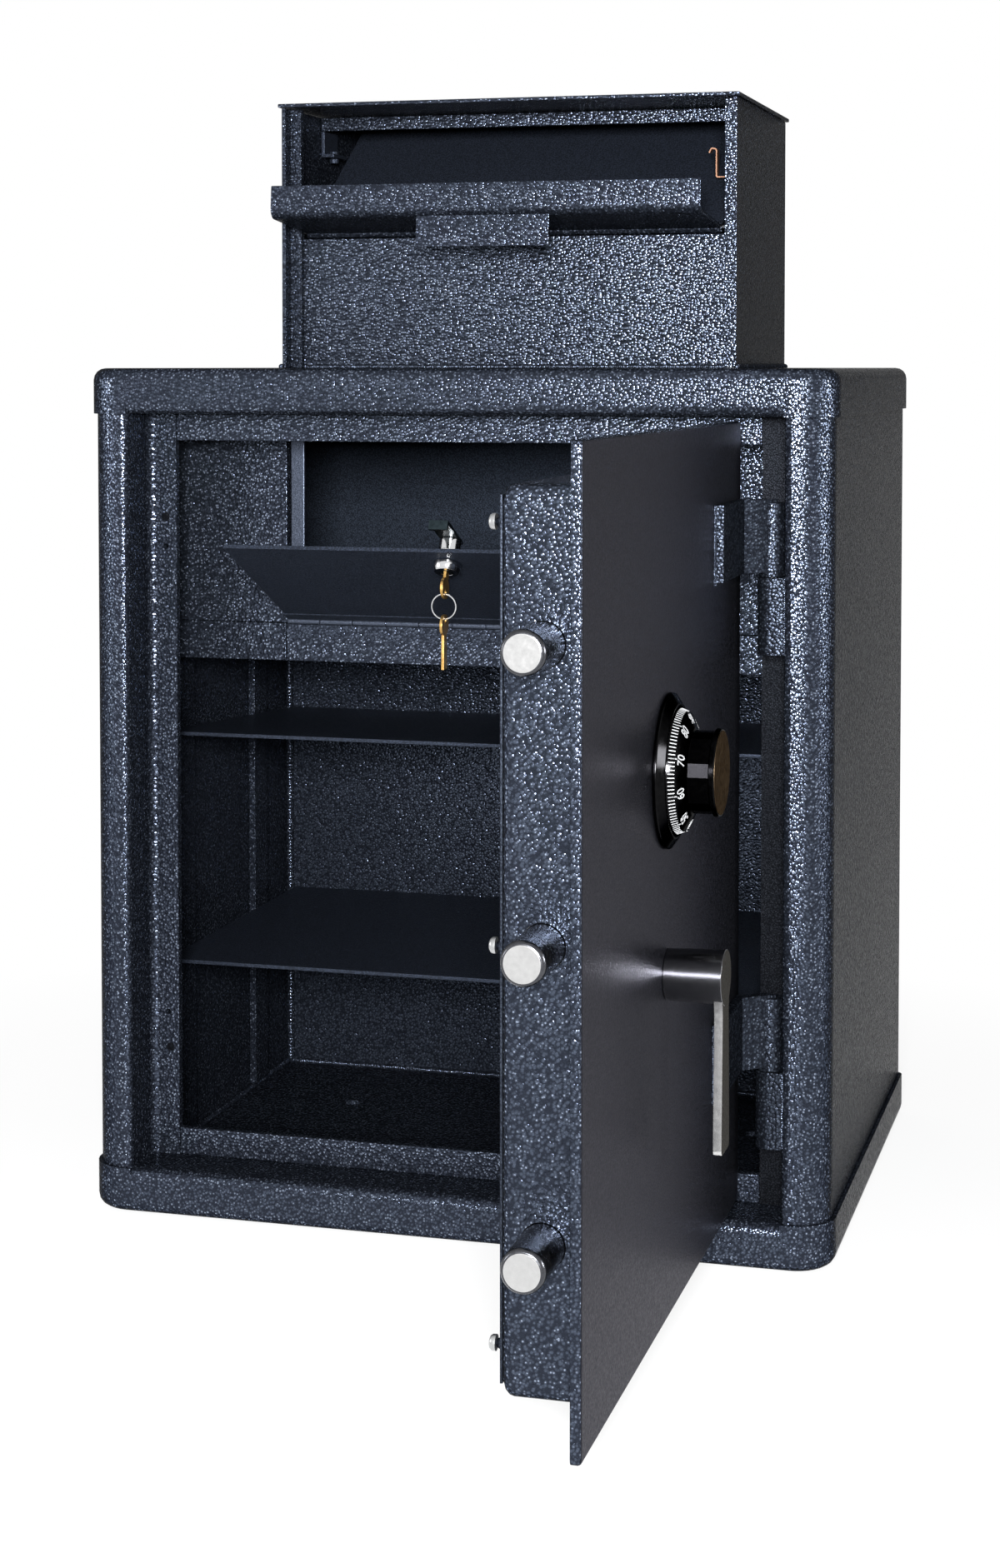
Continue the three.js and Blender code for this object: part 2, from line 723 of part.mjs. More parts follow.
function addSpringStrip(wallX) {
  const r = strip.hookRadius;
  const t = strip.sheet;
  const x = wallX - strip.fromWall;
  const y = headFrontY + strip.fromFront;
  const top = bodyHeight + strip.rise;
  const foot = top - strip.length;
  const hook = [
    at(y, foot),
    at(y, top - r),
    ...arc(y + r, top - r, r, 180, 0, 8),
    at(y + 2 * r, top - 2 * r),
    at(y + 2 * r - t, top - 2 * r),
    ...arc(y + r, top - r, r - t, 0, 180, 8),
    at(y + t, foot),
  ];
  const curl = runningX(hook, x, x + strip.width);
  const arm = block(x, wallX, y, y + t, foot, foot + r);
  addPiece(safe, 'head_spring_strip', join(curl, arm), 'copper');
}

// Hopper: one bent sheet, closed as its face stands upright. The axis is at the origin.
const hopperGroup = new THREE.Group();
hopperGroup.position.set(0, hopper.axisY, hopperAxisZ);
hopperGroup.rotation.x = hopperOpenDegrees * radians;
safe.add(hopperGroup);

function addHopper() {
  const half = sheet / 2;
  const face = block(-hopper.x, hopper.x, -half, half, 0, hopper.face);
  const lip = block(-hopper.x, hopper.x, -half, hopper.lip - half, hopper.face - sheet, hopper.face);
  const tab = block(-hopper.tabX, hopper.tabX, -hopper.tab - half, half, hopper.face - sheet, hopper.face);
  const back = block(-hopper.x, hopper.x, -half, half, 0, hopper.back);
  back.rotateX(-hopper.backDegrees * radians);
  const eye = rodX(hopper.eyeRadius, -hopper.x, hopper.x, 0, 0, 16);
  const bore = rodX(hopper.pinRadius + hopper.boreGap, -hopper.x - overrun, hopper.x + overrun, 0, 0, 16);
  addPiece(hopperGroup, 'hopper_tray', cut(join(face, lip, tab, back, eye), bore), 'hammered');
  const pinX = head.x - sheet - seam;
  const pin = rodX(hopper.pinRadius, -pinX, pinX, hopper.axisY, hopperAxisZ, 16);
  addPiece(safe, 'hopper_pin', pin, 'zinc');
}

// Door, in the places that it has when shut
const door = {
  gap: 1.65,
  sideOverlap: 12,
  overlapBelow: 8.8,
  overlapAbove: 17.6,
  edgeToAxis: 1,
  edgeRadius: 2,
};
const hinge = {
  radius: 9.2,
  toWall: 0.5,
  standoff: 22.3,
  pinRadius: 4,
  boreGap: 0.4,
  strapSheet: 6,
  strapLength: 100,
  strapDrop: 3,
  bodyRadius: 10.2,
};
const doorOuterY = frameFrontY - door.gap - plate;
const doorInnerY = doorOuterY + plate;
const hingeX = recessX - hinge.radius - hinge.toWall;
const hingeY = doorOuterY - hinge.standoff;
const doorLeft = -openingX - door.sideOverlap;
const doorRight = hingeX - door.edgeToAxis;
const doorBottom = openingBottom - door.overlapBelow;
const doorTop = openingTop + door.overlapAbove;

const hingeTurn = new THREE.Group();
hingeTurn.position.set(hingeX, hingeY, 0);
hingeTurn.rotation.z = doorOpenDegrees * radians;
safe.add(hingeTurn);
const doorGroup = new THREE.Group();
doorGroup.position.set(-hingeX, -hingeY, 0);
hingeTurn.add(doorGroup);

const bolt = {
  radius: 12.7,
  endRadius: 11.1,
  endLength: 2.5,
  reach: 44,
  toFrame: 0.8,
  inPan: 66.3,
  heightShares: [0.1925, 0.5065, 0.8204],
  holeGap: 0.5,
};
const boltY = frameBackY + bolt.toFrame + bolt.radius;
const boltHeights = bolt.heightShares.map((share) => openingBottom + openingHeight * share);

const dial = {
  x: -12,
  heightShare: 0.6358,
  ringRadius: 48,
  ringDepth: 6.5,
  ringEdge: 2.2,
  radius: 38.8,
  tickRadius: 36.5,
  tickDepth: 12.2,
  faceDepth: 16.7,
  knobRadius: 27,
  knobDepth: 33.5,
  camRadius: 19,
  spindleRadius: 4,
};
const dialZ = openingBottom + openingHeight * dial.heightShare;
const handle = {
  heightShare: 0.3963,
  hubRadius: 15.8,
  endRadius: 17.2,
  hubDepth: 36.2,
  leverLength: 107.5,
  leverSheet: 5.4,
  neckDrop: 21,
  neckWidth: 20,
  tipWidth: 26,
  tipRadius: 4,
  shaftRadius: 6,
};
const handleZ = openingBottom + openingHeight * handle.heightShare;

function addDoorPlate() {
  const slab = softSlab(
    (inset) => oblong(doorLeft + inset, doorRight - inset, doorBottom + inset, doorTop - inset,
      door.edgeRadius, 2), plate, door.edgeRadius, 2);
  const turn = new THREE.Matrix4().makeBasis(
    new THREE.Vector3(1, 0, 0), new THREE.Vector3(0, 0, 1), new THREE.Vector3(0, -1, 0));
  slab.applyMatrix4(turn).translate(0, doorInnerY, 0);
  const y0 = doorOuterY - overrun;
  const y1 = doorInnerY + overrun;
  const holes = [
    rodY(dial.spindleRadius + seam, y0, y1, dial.x, dialZ),
    rodY(handle.shaftRadius + seam, y0, y1, dial.x, handleZ),
  ];
  addPiece(doorGroup, 'door_plate', cut(slab, ...holes), 'smoothPaint');
}

// Bolt box: a rounded pan on the back of the door, closed by a screwed cover
const pan = {
  sideGap: 12.7,
  hingeGap: 47.3,
  gapBelow: 13.8,
  gapAbove: 7.4,
  depth: 45.2,
  radius: 7,
  sheet: 2.5,
  rim: 14,
  coverInset: 6,
  coverSheet: 1.5,
  screwRadius: 3.3,
  screwDepth: 3.8,
  screwInset: 5.5,
  screwShares: [0.0895, 0.492, 0.916],
};
const panLeft = -openingX + pan.sideGap;
const panRight = hingeX - pan.hingeGap;
const panBottom = openingBottom + pan.gapBelow;
const panTop = openingTop - pan.gapAbove;
const panFrontY = doorInnerY + seam;
const panBackY = panFrontY + pan.depth;

// A slab of the pan's outline less an inset, rounded at its rear edge
function panSlab(inset, y0, y1, radius) {
  const outline = (more) => {
    const less = inset + more;
    return oblong(panLeft + less, panRight - less, panBottom + less, panTop - less,
      Math.max(pan.radius - inset, pan.sheet), 4);
  };
  const turn = new THREE.Matrix4().makeBasis(
    new THREE.Vector3(-1, 0, 0), new THREE.Vector3(0, 0, 1), new THREE.Vector3(0, 1, 0));
  const mirroredOutline = (more) => mirrored(outline(more)).reverse();
  return softSlab(mirroredOutline, y1 - y0, radius, 4).applyMatrix4(turn).translate(0, y0, 0);
}

function addBoltBox() {
  const shell = panSlab(0, panFrontY, panBackY, pan.radius);
  const hollow = panSlab(pan.sheet, panFrontY - overrun, panBackY - pan.sheet, pan.radius - pan.sheet);
  const rim = pan.sheet + pan.rim;
  const access = block(panLeft + rim, panRight - rim, panBackY - overrun, panBackY + overrun,
    panBottom + rim, panTop - rim);
  const boltHoles = boltHeights.map((z) => rodX(
    bolt.radius + bolt.holeGap, panLeft - overrun, panLeft + overrun, boltY, z, 28));
  addPiece(doorGroup, 'bolt_box', cut(shell, hollow, access, ...boltHoles), 'hammered');

  const inset = pan.coverInset;
  const coverY = panBackY + seam;
  const cover = block(panLeft + inset, panRight - inset, coverY, coverY + pan.coverSheet,
    panBottom + inset, panTop - inset);
  const screwXs = [panLeft + inset + pan.screwInset, panRight - inset - pan.screwInset];
  const screwZs = pan.screwShares.map((share) => doorBottom + (doorTop - doorBottom) * share);
  const screws = screwXs.flatMap((x) => screwZs.map((z) => turnedY([
    [0, coverY + pan.coverSheet - seam],
    [pan.screwRadius, coverY + pan.coverSheet - seam],
    [pan.screwRadius, coverY + pan.coverSheet + pan.screwDepth / 3],
    [pan.screwRadius / 2, coverY + pan.coverSheet + pan.screwDepth],
    [0, coverY + pan.coverSheet + pan.screwDepth],
  ], x, z, 12)));
  addPiece(doorGroup, 'inner_cover', join(cover, ...screws), 'smoothPaint');
}

// Boltwork: three round bolts on a flat carriage that the handle's crank slides
const carriage = {
  sheet: 5,
  inPan: 45.9,
  stripWidth: 26,
  endOver: 19,
  armHeight: 20,
  armRight: 10,
  blockHeight: 16,
  blockRight: 26,
  slotGap: 1.3,
};
const crank = { radius: 26.87, pinRadius: 3.8, armWidth: 14, sheet: 5, startDegrees: 45 };
const lockCase = {
  x: 32,
  below: 36,
  above: 47,
  depth: 28,
  wall: 2.5,
  bolt: 22,
  boltSheet: 8,
  boltLength: 30,
  travel: 9,
  boltGap: 0.4,
};
const carriageX = panLeft + carriage.inPan;
const boltInnerX = panLeft + bolt.inPan;
const boltwork = new THREE.Group();
doorGroup.add(boltwork);
const lockBottom = dialZ - lockCase.below;

function addBoltwork() {
  const y0 = boltY - carriage.sheet / 2;
  const y1 = boltY + carriage.sheet / 2;
  for (const [i, name] of ['lower_bolt', 'middle_bolt', 'upper_bolt'].entries()) {
    const z = boltHeights[i];
    const tip = panLeft - bolt.reach;
    const half = boltInnerX - tip;
    const bar = new THREE.LatheGeometry([
      at(0, 0),
      at(bolt.endRadius, 0),
      at(bolt.radius, bolt.endLength),
      at(bolt.radius, half),
      at(0, half),
    ], 32).rotateZ(-Math.PI / 2).translate(tip, boltY, z);
    const slot = block(carriageX - seam, boltInnerX + overrun, y0 - seam, y1 + seam,
      z - bolt.radius * 2, z + bolt.radius * 2);
    addPiece(boltwork, name, cut(bar, slot), 'darkOxide');
  }
  const left = carriageX;
  const right = left + carriage.stripWidth;
  const bottom = boltHeights[0] - carriage.endOver;
  const top = boltHeights[2] + carriage.endOver;
  const pinX = dial.x - crank.radius * Math.sin(crank.startDegrees * radians);
  const pinLow = handleZ + crank.radius * Math.cos(crank.startDegrees * radians);
  const pinHigh = handleZ + crank.radius;
  const armZ0 = pinLow - crank.pinRadius - carriage.slotGap - sheet;
  const armZ1 = pinHigh + crank.pinRadius + carriage.slotGap + sheet;
  const blockTop = lockBottom - lockCase.travel - seam;
  const blockZ0 = blockTop - carriage.blockHeight + lockCase.travel;
  const notchX = lockCase.bolt / 2 + lockCase.boltGap * 2;
  const outline = [
    at(left, bottom),
    at(right, bottom),
    at(right, armZ0),
    at(dial.x + carriage.armRight, armZ0),
    at(dial.x + carriage.armRight, armZ1),
    at(right, armZ1),
    at(right, blockZ0),
    at(dial.x + carriage.blockRight, blockZ0),
    at(dial.x + carriage.blockRight, blockTop + lockCase.travel),
    at(dial.x + notchX, blockTop + lockCase.travel),
    at(dial.x + notchX, blockTop - seam),
    at(dial.x - notchX, blockTop - seam),
    at(dial.x - notchX, blockTop + lockCase.travel),
    at(right, blockTop + lockCase.travel),
    at(right, top),
    at(left, top),
  ];
  const slotHalf = crank.pinRadius + carriage.slotGap;
  const slot = oblong(pinX - slotHalf, pinX + slotHalf, pinLow - slotHalf, pinHigh + slotHalf,
    slotHalf - seam, 4);
  addPiece(boltwork, 'bolt_carriage', runningY(outline, y0, y1, [slot]), 'zinc');
}

// Guide plate that steadies the bolts inside the pan
const guide = { inPan: 21.3, sheet: 3, endOver: 24 };
const guideX = panLeft + guide.inPan;

function addBoltGuide() {
  const plateGeometry = block(guideX, guideX + guide.sheet, panFrontY, panBackY - pan.sheet - seam,
    boltHeights[0] - guide.endOver, boltHeights[2] + guide.endOver);
  const holes = boltHeights.map((z) => rodX(
    bolt.radius + bolt.holeGap, guideX - overrun, guideX + overrun, boltY, z, 28));
  addPiece(doorGroup, 'bolt_guide', cut(plateGeometry, ...holes), 'zinc');
}

// Combination lock: case and cover on the inside, ring and dial on the outside
const dialGroup = new THREE.Group();
doorGroup.add(dialGroup);
const lockBoltGroup = new THREE.Group();
doorGroup.add(lockBoltGroup);

function addCombinationLock() {
  const y0 = panFrontY;
  const y1 = y0 + lockCase.depth;
  const w = lockCase.wall;
  const x0 = dial.x - lockCase.x;
  const x1 = dial.x + lockCase.x;
  const z1 = dialZ + lockCase.above;
  const shell = block(x0, x1, y0, y1, lockBottom, z1);
  const hollow = block(x0 + w, x1 - w, y0 + w, y1 + overrun, lockBottom + w, z1 - w);
  const spindleHole = rodY(dial.spindleRadius + seam, y0 - overrun, y0 + overrun, dial.x, dialZ);
  const boltX = lockCase.bolt / 2;
  const midY = (y0 + y1) / 2;
  const g = lockCase.boltGap;
  const boltHole = block(dial.x - boltX - g, dial.x + boltX + g, boltY - lockCase.boltSheet / 2 - g,
    boltY + lockCase.boltSheet / 2 + g, lockBottom - overrun, lockBottom + overrun / 2);
  addPiece(doorGroup, 'lock_case', cut(shell, hollow, spindleHole, boltHole), 'zinc');
  const cover = block(x0, x1, y1 + seam, y1 + seam + w, lockBottom, z1);
  addPiece(doorGroup, 'lock_cover', cover, 'zinc');
  const lockBolt = block(dial.x - boltX, dial.x + boltX, boltY - lockCase.boltSheet / 2,
    boltY + lockCase.boltSheet / 2, lockBottom, lockBottom + lockCase.boltLength);
  const relief = rodY(dial.camRadius + seam * 2, midY - overrun, midY + overrun, dial.x, dialZ, 32);
  addPiece(lockBoltGroup, 'lock_bolt', cut(lockBolt, relief), 'brass');

  const face = doorOuterY - seam;
  const dialBack = face - seam * 2;
  const ringInner = dial.radius + seam * 4;
  const dialRing = turnedY([
    [ringInner, face],
    [ringInner, face - dial.ringDepth],
    [ringInner + sheet / 2, face - dial.ringDepth],
    [dial.ringRadius, face - dial.ringEdge],
    [dial.ringRadius, face],
    [ringInner, face],
  ], dial.x, dialZ, 48);
  addPiece(doorGroup, 'dial_ring', dialRing, 'blackGloss');
  const knobFront = face - dial.knobDepth;
  const dialBody = turnedY([
    [0, knobFront],
    [dial.knobRadius - sheet / 2, knobFront],
    [dial.knobRadius, knobFront + sheet / 2],
    [dial.knobRadius, face - dial.faceDepth],
    [dial.tickRadius, face - dial.tickDepth],
    [dial.radius, face - dial.ringDepth],
    [dial.radius, dialBack],
    [0, dialBack],
  ], dial.x, dialZ, 48);
  addPiece(dialGroup, 'dial', dialBody, 'blackGloss');
  const spindle = rodY(dial.spindleRadius, dialBack + seam, midY, dial.x, dialZ, 16);
  const cam = rodY(dial.camRadius, midY - sheet * 2, midY, dial.x, dialZ, 28);
  addPiece(dialGroup, 'dial_spindle', join(spindle, cam), 'brass');
}

// Lever handle with its shaft and crank
const handleGroup = new THREE.Group();
doorGroup.add(handleGroup);

function addHandle() {
  const face = doorOuterY - seam;
  const end = face - handle.hubDepth;
  const hub = turnedY([
    [0, end],
    [handle.endRadius - seam, end],
    [handle.endRadius, end + seam],
    [handle.hubRadius, face],
    [0, face],
  ], dial.x, handleZ, 32);
  const r = handle.tipRadius;
  const half = handle.tipWidth / 2;
  const tipZ = handleZ - handle.leverLength;
  const neckZ = handleZ - handle.neckDrop;
  const lever = runningY([
    at(dial.x + handle.endRadius - sheet, handleZ),
    at(dial.x - handle.endRadius + sheet, handleZ),
    at(dial.x - handle.neckWidth / 2, neckZ),
    ...arc(dial.x - half + r, tipZ + r, r, 180, 270, 4),
    ...arc(dial.x + half - r, tipZ + r, r, 270, 360, 4),
    at(dial.x + handle.neckWidth / 2, neckZ),
  ], end + seam / 2, end + handle.leverSheet);
  addPiece(handleGroup, 'door_handle', join(hub, lever), 'brushed');
  const crankY1 = boltY - carriage.sheet / 2 - seam * 2;
  const crankY0 = crankY1 - crank.sheet;
  const shaft = rodY(handle.shaftRadius, face + seam, crankY1, dial.x, handleZ, 20);
  const arm = block(-crank.armWidth / 2, crank.armWidth / 2, crankY0, crankY1, 0, crank.radius + crank.armWidth / 2);
  const pin = rodY(crank.pinRadius, crankY0, boltY + carriage.sheet, 0, crank.radius, 16);
  const turned = join(arm, pin).rotateY(-crank.startDegrees * radians).translate(dial.x, 0, handleZ);
  addPiece(handleGroup, 'handle_crank', join(shaft, turned), 'zinc');
}

// Hinges: straps and knuckles on the door, knuckles and pins on the body
const knuckle = { height: 54.6, gap: 0.6, upperShare: 0.827, lowerShare: 0.1636 };

function doorHinge(z0, z1) {
  const face = doorOuterY - seam;
  const t = hinge.strapSheet;
  const rampX = hingeX - hinge.radius * 2;
  const strap = standing([
    at(hingeX - hinge.strapLength, face),
    at(hingeX - hinge.strapLength, face - t),
    at(rampX - t / 2, face - t),
    at(hingeX - hinge.radius / 2, hingeY - hinge.radius / 2),
    at(hingeX - hinge.radius / 4, hingeY + hinge.radius / 2),
    at(rampX + t / 2, face),
  ], z0 + hinge.strapDrop, z1);
  const barrel = rodZ(hinge.radius, z0, z1 - hinge.strapDrop, hingeX, hingeY, 24);
  const bore = rodZ(hinge.pinRadius + hinge.boreGap, z0 - overrun, z1 - plate, hingeX, hingeY, 16);
  return cut(join(strap, barrel), bore);
}

function bodyHinge(z0, z1) {
  const r = hinge.bodyRadius;
  const wall = recessX - seam;
  const barrel = rodZ(r, z0, z1, hingeX, hingeY, 24);
  const pad = block(hingeX, wall, hingeY - r, hingeY + r, z0, z1);
  const keep = block(hingeX - overrun, wall, hingeY - overrun, hingeY + overrun, z0, z1);
  const bore = rodZ(hinge.pinRadius + hinge.boreGap, z0 + plate, z1 + overrun, hingeX, hingeY, 16);
  return cut(common(join(barrel, pad), keep), bore);
}

function addHinges() {
  for (const [name, share] of [['upper', knuckle.upperShare], ['lower', knuckle.lowerShare]]) {
    const mid = openingBottom + openingHeight * share;
    const top = mid + knuckle.height;
    const bottom = mid - knuckle.height;
    const half = knuckle.gap / 2;
    addPiece(doorGroup, `${name}_door_hinge`, doorHinge(mid + half, top), 'hammered');
    addPiece(safe, `${name}_body_hinge`, bodyHinge(bottom, mid - half), 'hammered');
    const pin = rodZ(hinge.pinRadius, bottom + plate + seam, top - plate - seam, hingeX, hingeY, 16);
    addPiece(safe, `${name}_hinge_pin`, pin, 'zinc');
  }
}

addSides();
addCaps();
addRails();
addShelves();
addStandards();
addLocker();
addFlap();
addKeyRing(addCamLock());
addHead();
addHeadFittings();
addHopper();
addDoorPlate();
addBoltBox();
addBoltwork();
addBoltGuide();
addCombinationLock();
addHandle();
addHinges();

export default safe;
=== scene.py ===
import bmesh
import bpy
import json
from math import atan2, cos, dist, pi, radians, sin, tan
from mathutils import Matrix, Vector


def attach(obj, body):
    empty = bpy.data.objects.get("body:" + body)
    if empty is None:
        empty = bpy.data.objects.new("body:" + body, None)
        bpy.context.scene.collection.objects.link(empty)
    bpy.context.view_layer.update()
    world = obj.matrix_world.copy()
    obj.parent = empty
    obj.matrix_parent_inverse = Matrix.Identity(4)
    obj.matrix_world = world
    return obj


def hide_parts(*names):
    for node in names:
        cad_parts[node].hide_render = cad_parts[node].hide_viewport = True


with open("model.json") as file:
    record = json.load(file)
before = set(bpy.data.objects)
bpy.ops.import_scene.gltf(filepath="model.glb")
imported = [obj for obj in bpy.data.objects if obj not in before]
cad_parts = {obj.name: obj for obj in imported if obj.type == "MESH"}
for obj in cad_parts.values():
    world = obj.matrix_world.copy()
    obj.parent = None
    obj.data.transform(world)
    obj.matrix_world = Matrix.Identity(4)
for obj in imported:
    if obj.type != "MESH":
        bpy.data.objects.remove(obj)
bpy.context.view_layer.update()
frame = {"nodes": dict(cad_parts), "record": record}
mm = 0.001


# camera, at the photograph's place and angle

cameraPlace = {
    "location": (0.54053, -2.01798, 0.63714),
    "pitch": 90 - 2.544,
    "yaw": 15.427,
    "sensor": 36,
    "lens": 60.31,
    "drop": -0.1926,
}


def addCamera():
    bpy.ops.object.camera_add(location=cameraPlace["location"])
    camera = bpy.context.object
    camera.rotation_euler = (radians(cameraPlace["pitch"]), 0, radians(cameraPlace["yaw"]))
    camera.data.sensor_width = cameraPlace["sensor"]
    camera.data.lens = cameraPlace["lens"]
    camera.data.shift_y = cameraPlace["drop"]
    bpy.context.scene.camera = camera


# small helpers for meshes, with their sizes in mm

shaping = {
    "sameVertex": 0.005,
    "sameNodeVertex": 0.01,
    "flatDegrees": 1,
    "turnedDegrees": 38,
    "foldSegments": 5,
    "foldDegrees": 20,
    "foldReach": 0.1,
    "rippleShare": 0.8,
}


def deselectAll():
    if bpy.context.object and bpy.context.object.mode != "OBJECT":
        bpy.ops.object.mode_set(mode="OBJECT")
    bpy.ops.object.select_all(action="DESELECT")


def pick(piece):
    deselectAll()
    bpy.context.view_layer.objects.active = piece
    piece.select_set(True)


def editAll(piece):
    pick(piece)
    bpy.ops.object.mode_set(mode="EDIT")
    bpy.ops.mesh.select_all(action="SELECT")


def toObject():
    bpy.ops.object.mode_set(mode="OBJECT")


def chooseEdges(piece, test):
    # in edit mode, selects the edges that pass the test
    bpy.ops.mesh.select_mode(type="EDGE")
    bpy.ops.mesh.select_all(action="DESELECT")
    mesh = bmesh.from_edit_mesh(piece.data)
    for edge in mesh.edges:
        if test(edge):
            edge.select_set(True)
    bmesh.update_edit_mesh(piece.data)


def tidyShell():
    # in edit mode: no doubles, faces pointing outwards
    bpy.ops.mesh.select_all(action="SELECT")
    bpy.ops.mesh.remove_doubles(threshold=shaping["sameVertex"] * mm)
    bpy.ops.mesh.normals_make_consistent(inside=False)


def finishModifiers(piece):
    pick(piece)
    for modifier in list(piece.modifiers):
        bpy.ops.object.modifier_apply(modifier=modifier.name)


def applyPlace(piece):
    # the piece's place, turn and size go into its mesh
    pick(piece)
    bpy.ops.object.transform_apply(location=True, rotation=True, scale=True)


def softenEdges(piece, width, segments=2, angle=32):
    bevel = piece.modifiers.new("softEdges", "BEVEL")
    bevel.width = width
    bevel.segments = segments
    bevel.limit_method = "ANGLE"
    bevel.angle_limit = radians(angle)
    bevel.miter_outer = "MITER_ARC"
    finishModifiers(piece)


def smoothFaces(piece, angle=40):
    pick(piece)
    bpy.ops.object.shade_smooth_by_angle(angle=radians(angle))
    weighted = piece.modifiers.new("faceNormals", "WEIGHTED_NORMAL")
    weighted.keep_sharp = True
    finishModifiers(piece)


def repeatAlong(piece, name, count, step):
    # count copies of the piece, each one step further on
    row = piece.modifiers.new(name, "ARRAY")
    row.use_relative_offset = False
    row.use_constant_offset = True
    row.count = count
    row.constant_offset_displace = step
    finishModifiers(piece)


def turned(axis, place, profile, sides=64, flat=False):
    # a lathe-turned solid about X or Y: profile is (distance along it, radius) in mm, from place in mm
    along = Vector({"X": (1, 0, 0), "Y": (0, 1, 0)}[axis])
    turn = {"X": (0, pi / 2, 0), "Y": (pi / 2, 0, 0)}[axis]
    start = Vector(place) * mm + along * profile[0][0] * mm
    deselectAll()
    bpy.ops.mesh.primitive_circle_add(vertices=sides, radius=profile[0][1] * mm, fill_type="NGON",
                                      location=start, rotation=turn)
    piece = bpy.context.object
    applyPlace(piece)
    bpy.ops.object.mode_set(mode="EDIT")
    bpy.ops.mesh.select_mode(type="FACE")
    bpy.ops.mesh.select_all(action="SELECT")
    for (back, wide), (front, narrow) in zip(profile, profile[1:]):
        step = along * (front - back) * mm
        start = start + step
        grow = narrow / wide
        bpy.ops.mesh.extrude_region_move(TRANSFORM_OT_translate={"value": step})
        bpy.ops.transform.resize(value=[1 if a else grow for a in along], center_override=start)
    tidyShell()
    toObject()
    if not flat:
        smoothFaces(piece, shaping["turnedDegrees"])
    return piece


def foldedSheet(path, x0, x1, thick, bend):
    # a sheet folded along X: path is (y, z) in mm down the middle of the sheet, bend the width of a fold
    (ay, az), (by, bz) = path[0], path[1]
    length = dist(path[0], path[1])
    deselectAll()
    bpy.ops.mesh.primitive_plane_add(
        size=1, location=((x0 + x1) / 2 * mm, (ay + by) / 2 * mm, (az + bz) / 2 * mm),
        rotation=(atan2(bz - az, by - ay), 0, 0))
    piece = bpy.context.object
    piece.scale = ((x1 - x0) * mm, length * mm, 1)
    applyPlace(piece)
    bpy.ops.object.mode_set(mode="EDIT")
    end, reach = (by * mm, bz * mm), shaping["foldReach"] * mm
    chooseEdges(piece, lambda e: all(dist(v.co.yz, end) < reach for v in e.verts))
    for (py, pz), (qy, qz) in zip(path[1:], path[2:]):
        step = (0, (qy - py) * mm, (qz - pz) * mm)
        bpy.ops.mesh.extrude_edges_move(TRANSFORM_OT_translate={"value": step})
    bpy.ops.mesh.select_all(action="SELECT")
    bpy.ops.mesh.normals_make_consistent(inside=False)
    toObject()
    if bend:
        fold = piece.modifiers.new("folds", "BEVEL")
        fold.width = bend * mm
        fold.segments = shaping["foldSegments"]
        fold.limit_method = "ANGLE"
        fold.angle_limit = radians(shaping["foldDegrees"])
    solid = piece.modifiers.new("sheet", "SOLIDIFY")
    solid.thickness = thick * mm
    solid.offset = 0
    solid.use_even_offset = True
    finishModifiers(piece)
    return piece


def weldBead(start, end, radius):
    # a run of overlapping ripples, as a welder lays them, from start to end in mm
    start, end = Vector(start) * mm, Vector(end) * mm
    count = max(2, int((end - start).length / (radius * shaping["rippleShare"] * mm)))
    deselectAll()
    bpy.ops.mesh.primitive_uv_sphere_add(segments=8, ring_count=6, radius=radius * mm, location=start)
    piece = bpy.context.object
    applyPlace(piece)
    repeatAlong(piece, "ripples", count, (end - start) / (count - 1))
    bpy.ops.object.shade_smooth()
    return piece


def joined(pieces):
    # one piece out of several
    deselectAll()
    for piece in pieces:
        piece.select_set(True)
    bpy.context.view_layer.objects.active = pieces[0]
    bpy.ops.object.join()
    return pieces[0]


def settle(piece, name, body, material, nodes=()):
    # the finished piece gets its name, material and body, and the nodes that it stands for are hidden
    applyPlace(piece)
    piece.name = name
    piece.data.name = name
    piece.data.materials.clear()
    piece.data.materials.append(material)
    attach(piece, body)
    if nodes:
        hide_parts(*nodes)


# materials

def linear(code):
    # sRGB hex to linear colour
    channels = [int(code[i:i + 2], 16) / 255 for i in (1, 3, 5)]
    return [c / 12.92 if c <= 0.04045 else ((c + 0.055) / 1.055) ** 2.4 for c in channels] + [1]


def newMaterial(name):
    material = bpy.data.materials.new(name)
    material.use_nodes = True
    return material


def addNode(material, kind, settings=None, links=None):
    node = material.node_tree.nodes.new(kind)
    for name, value in (settings or {}).items():
        if isinstance(name, int) or name in node.inputs:
            node.inputs[name].default_value = value
        else:
            setattr(node, name, value)
    for name, source in (links or {}).items():
        material.node_tree.links.new(source, node.inputs[name])
    return node


def shaderOf(material, settings=None, links=None):
    shader = material.node_tree.nodes["Principled BSDF"]
    for name, value in (settings or {}).items():
        shader.inputs[name].default_value = value
    for name, source in (links or {}).items():
        material.node_tree.links.new(source, shader.inputs[name])
    return shader


def perMetre(size):
    # pattern scale for features of this size in millimetres
    return 1000 / size


# blue-black hammered enamel on the outside: pebbles, about a third of them with a painted glint, a bright
# spot in the colour where their metal flake would catch the lamp; the real ones are about 1.5 mm across, and
# these are coarser so that they show
hammeredPaint = {
    "dark": "#252932",
    "light": "#414855",
    "paintedGlint": "#8d97a9",
    "pebble": 2.1,
    "depth": 0.6,
    "flow": 0.25,
    "gloss": 0.16,
    "flake": 0.8,
    "grazing": "#1e1c1c",
}

# the same on the hinges, darker because they lie in the shade
hingePaint = dict(hammeredPaint, dark="#1d2027", light="#313741", paintedGlint="#646c7a", gloss=0.28)

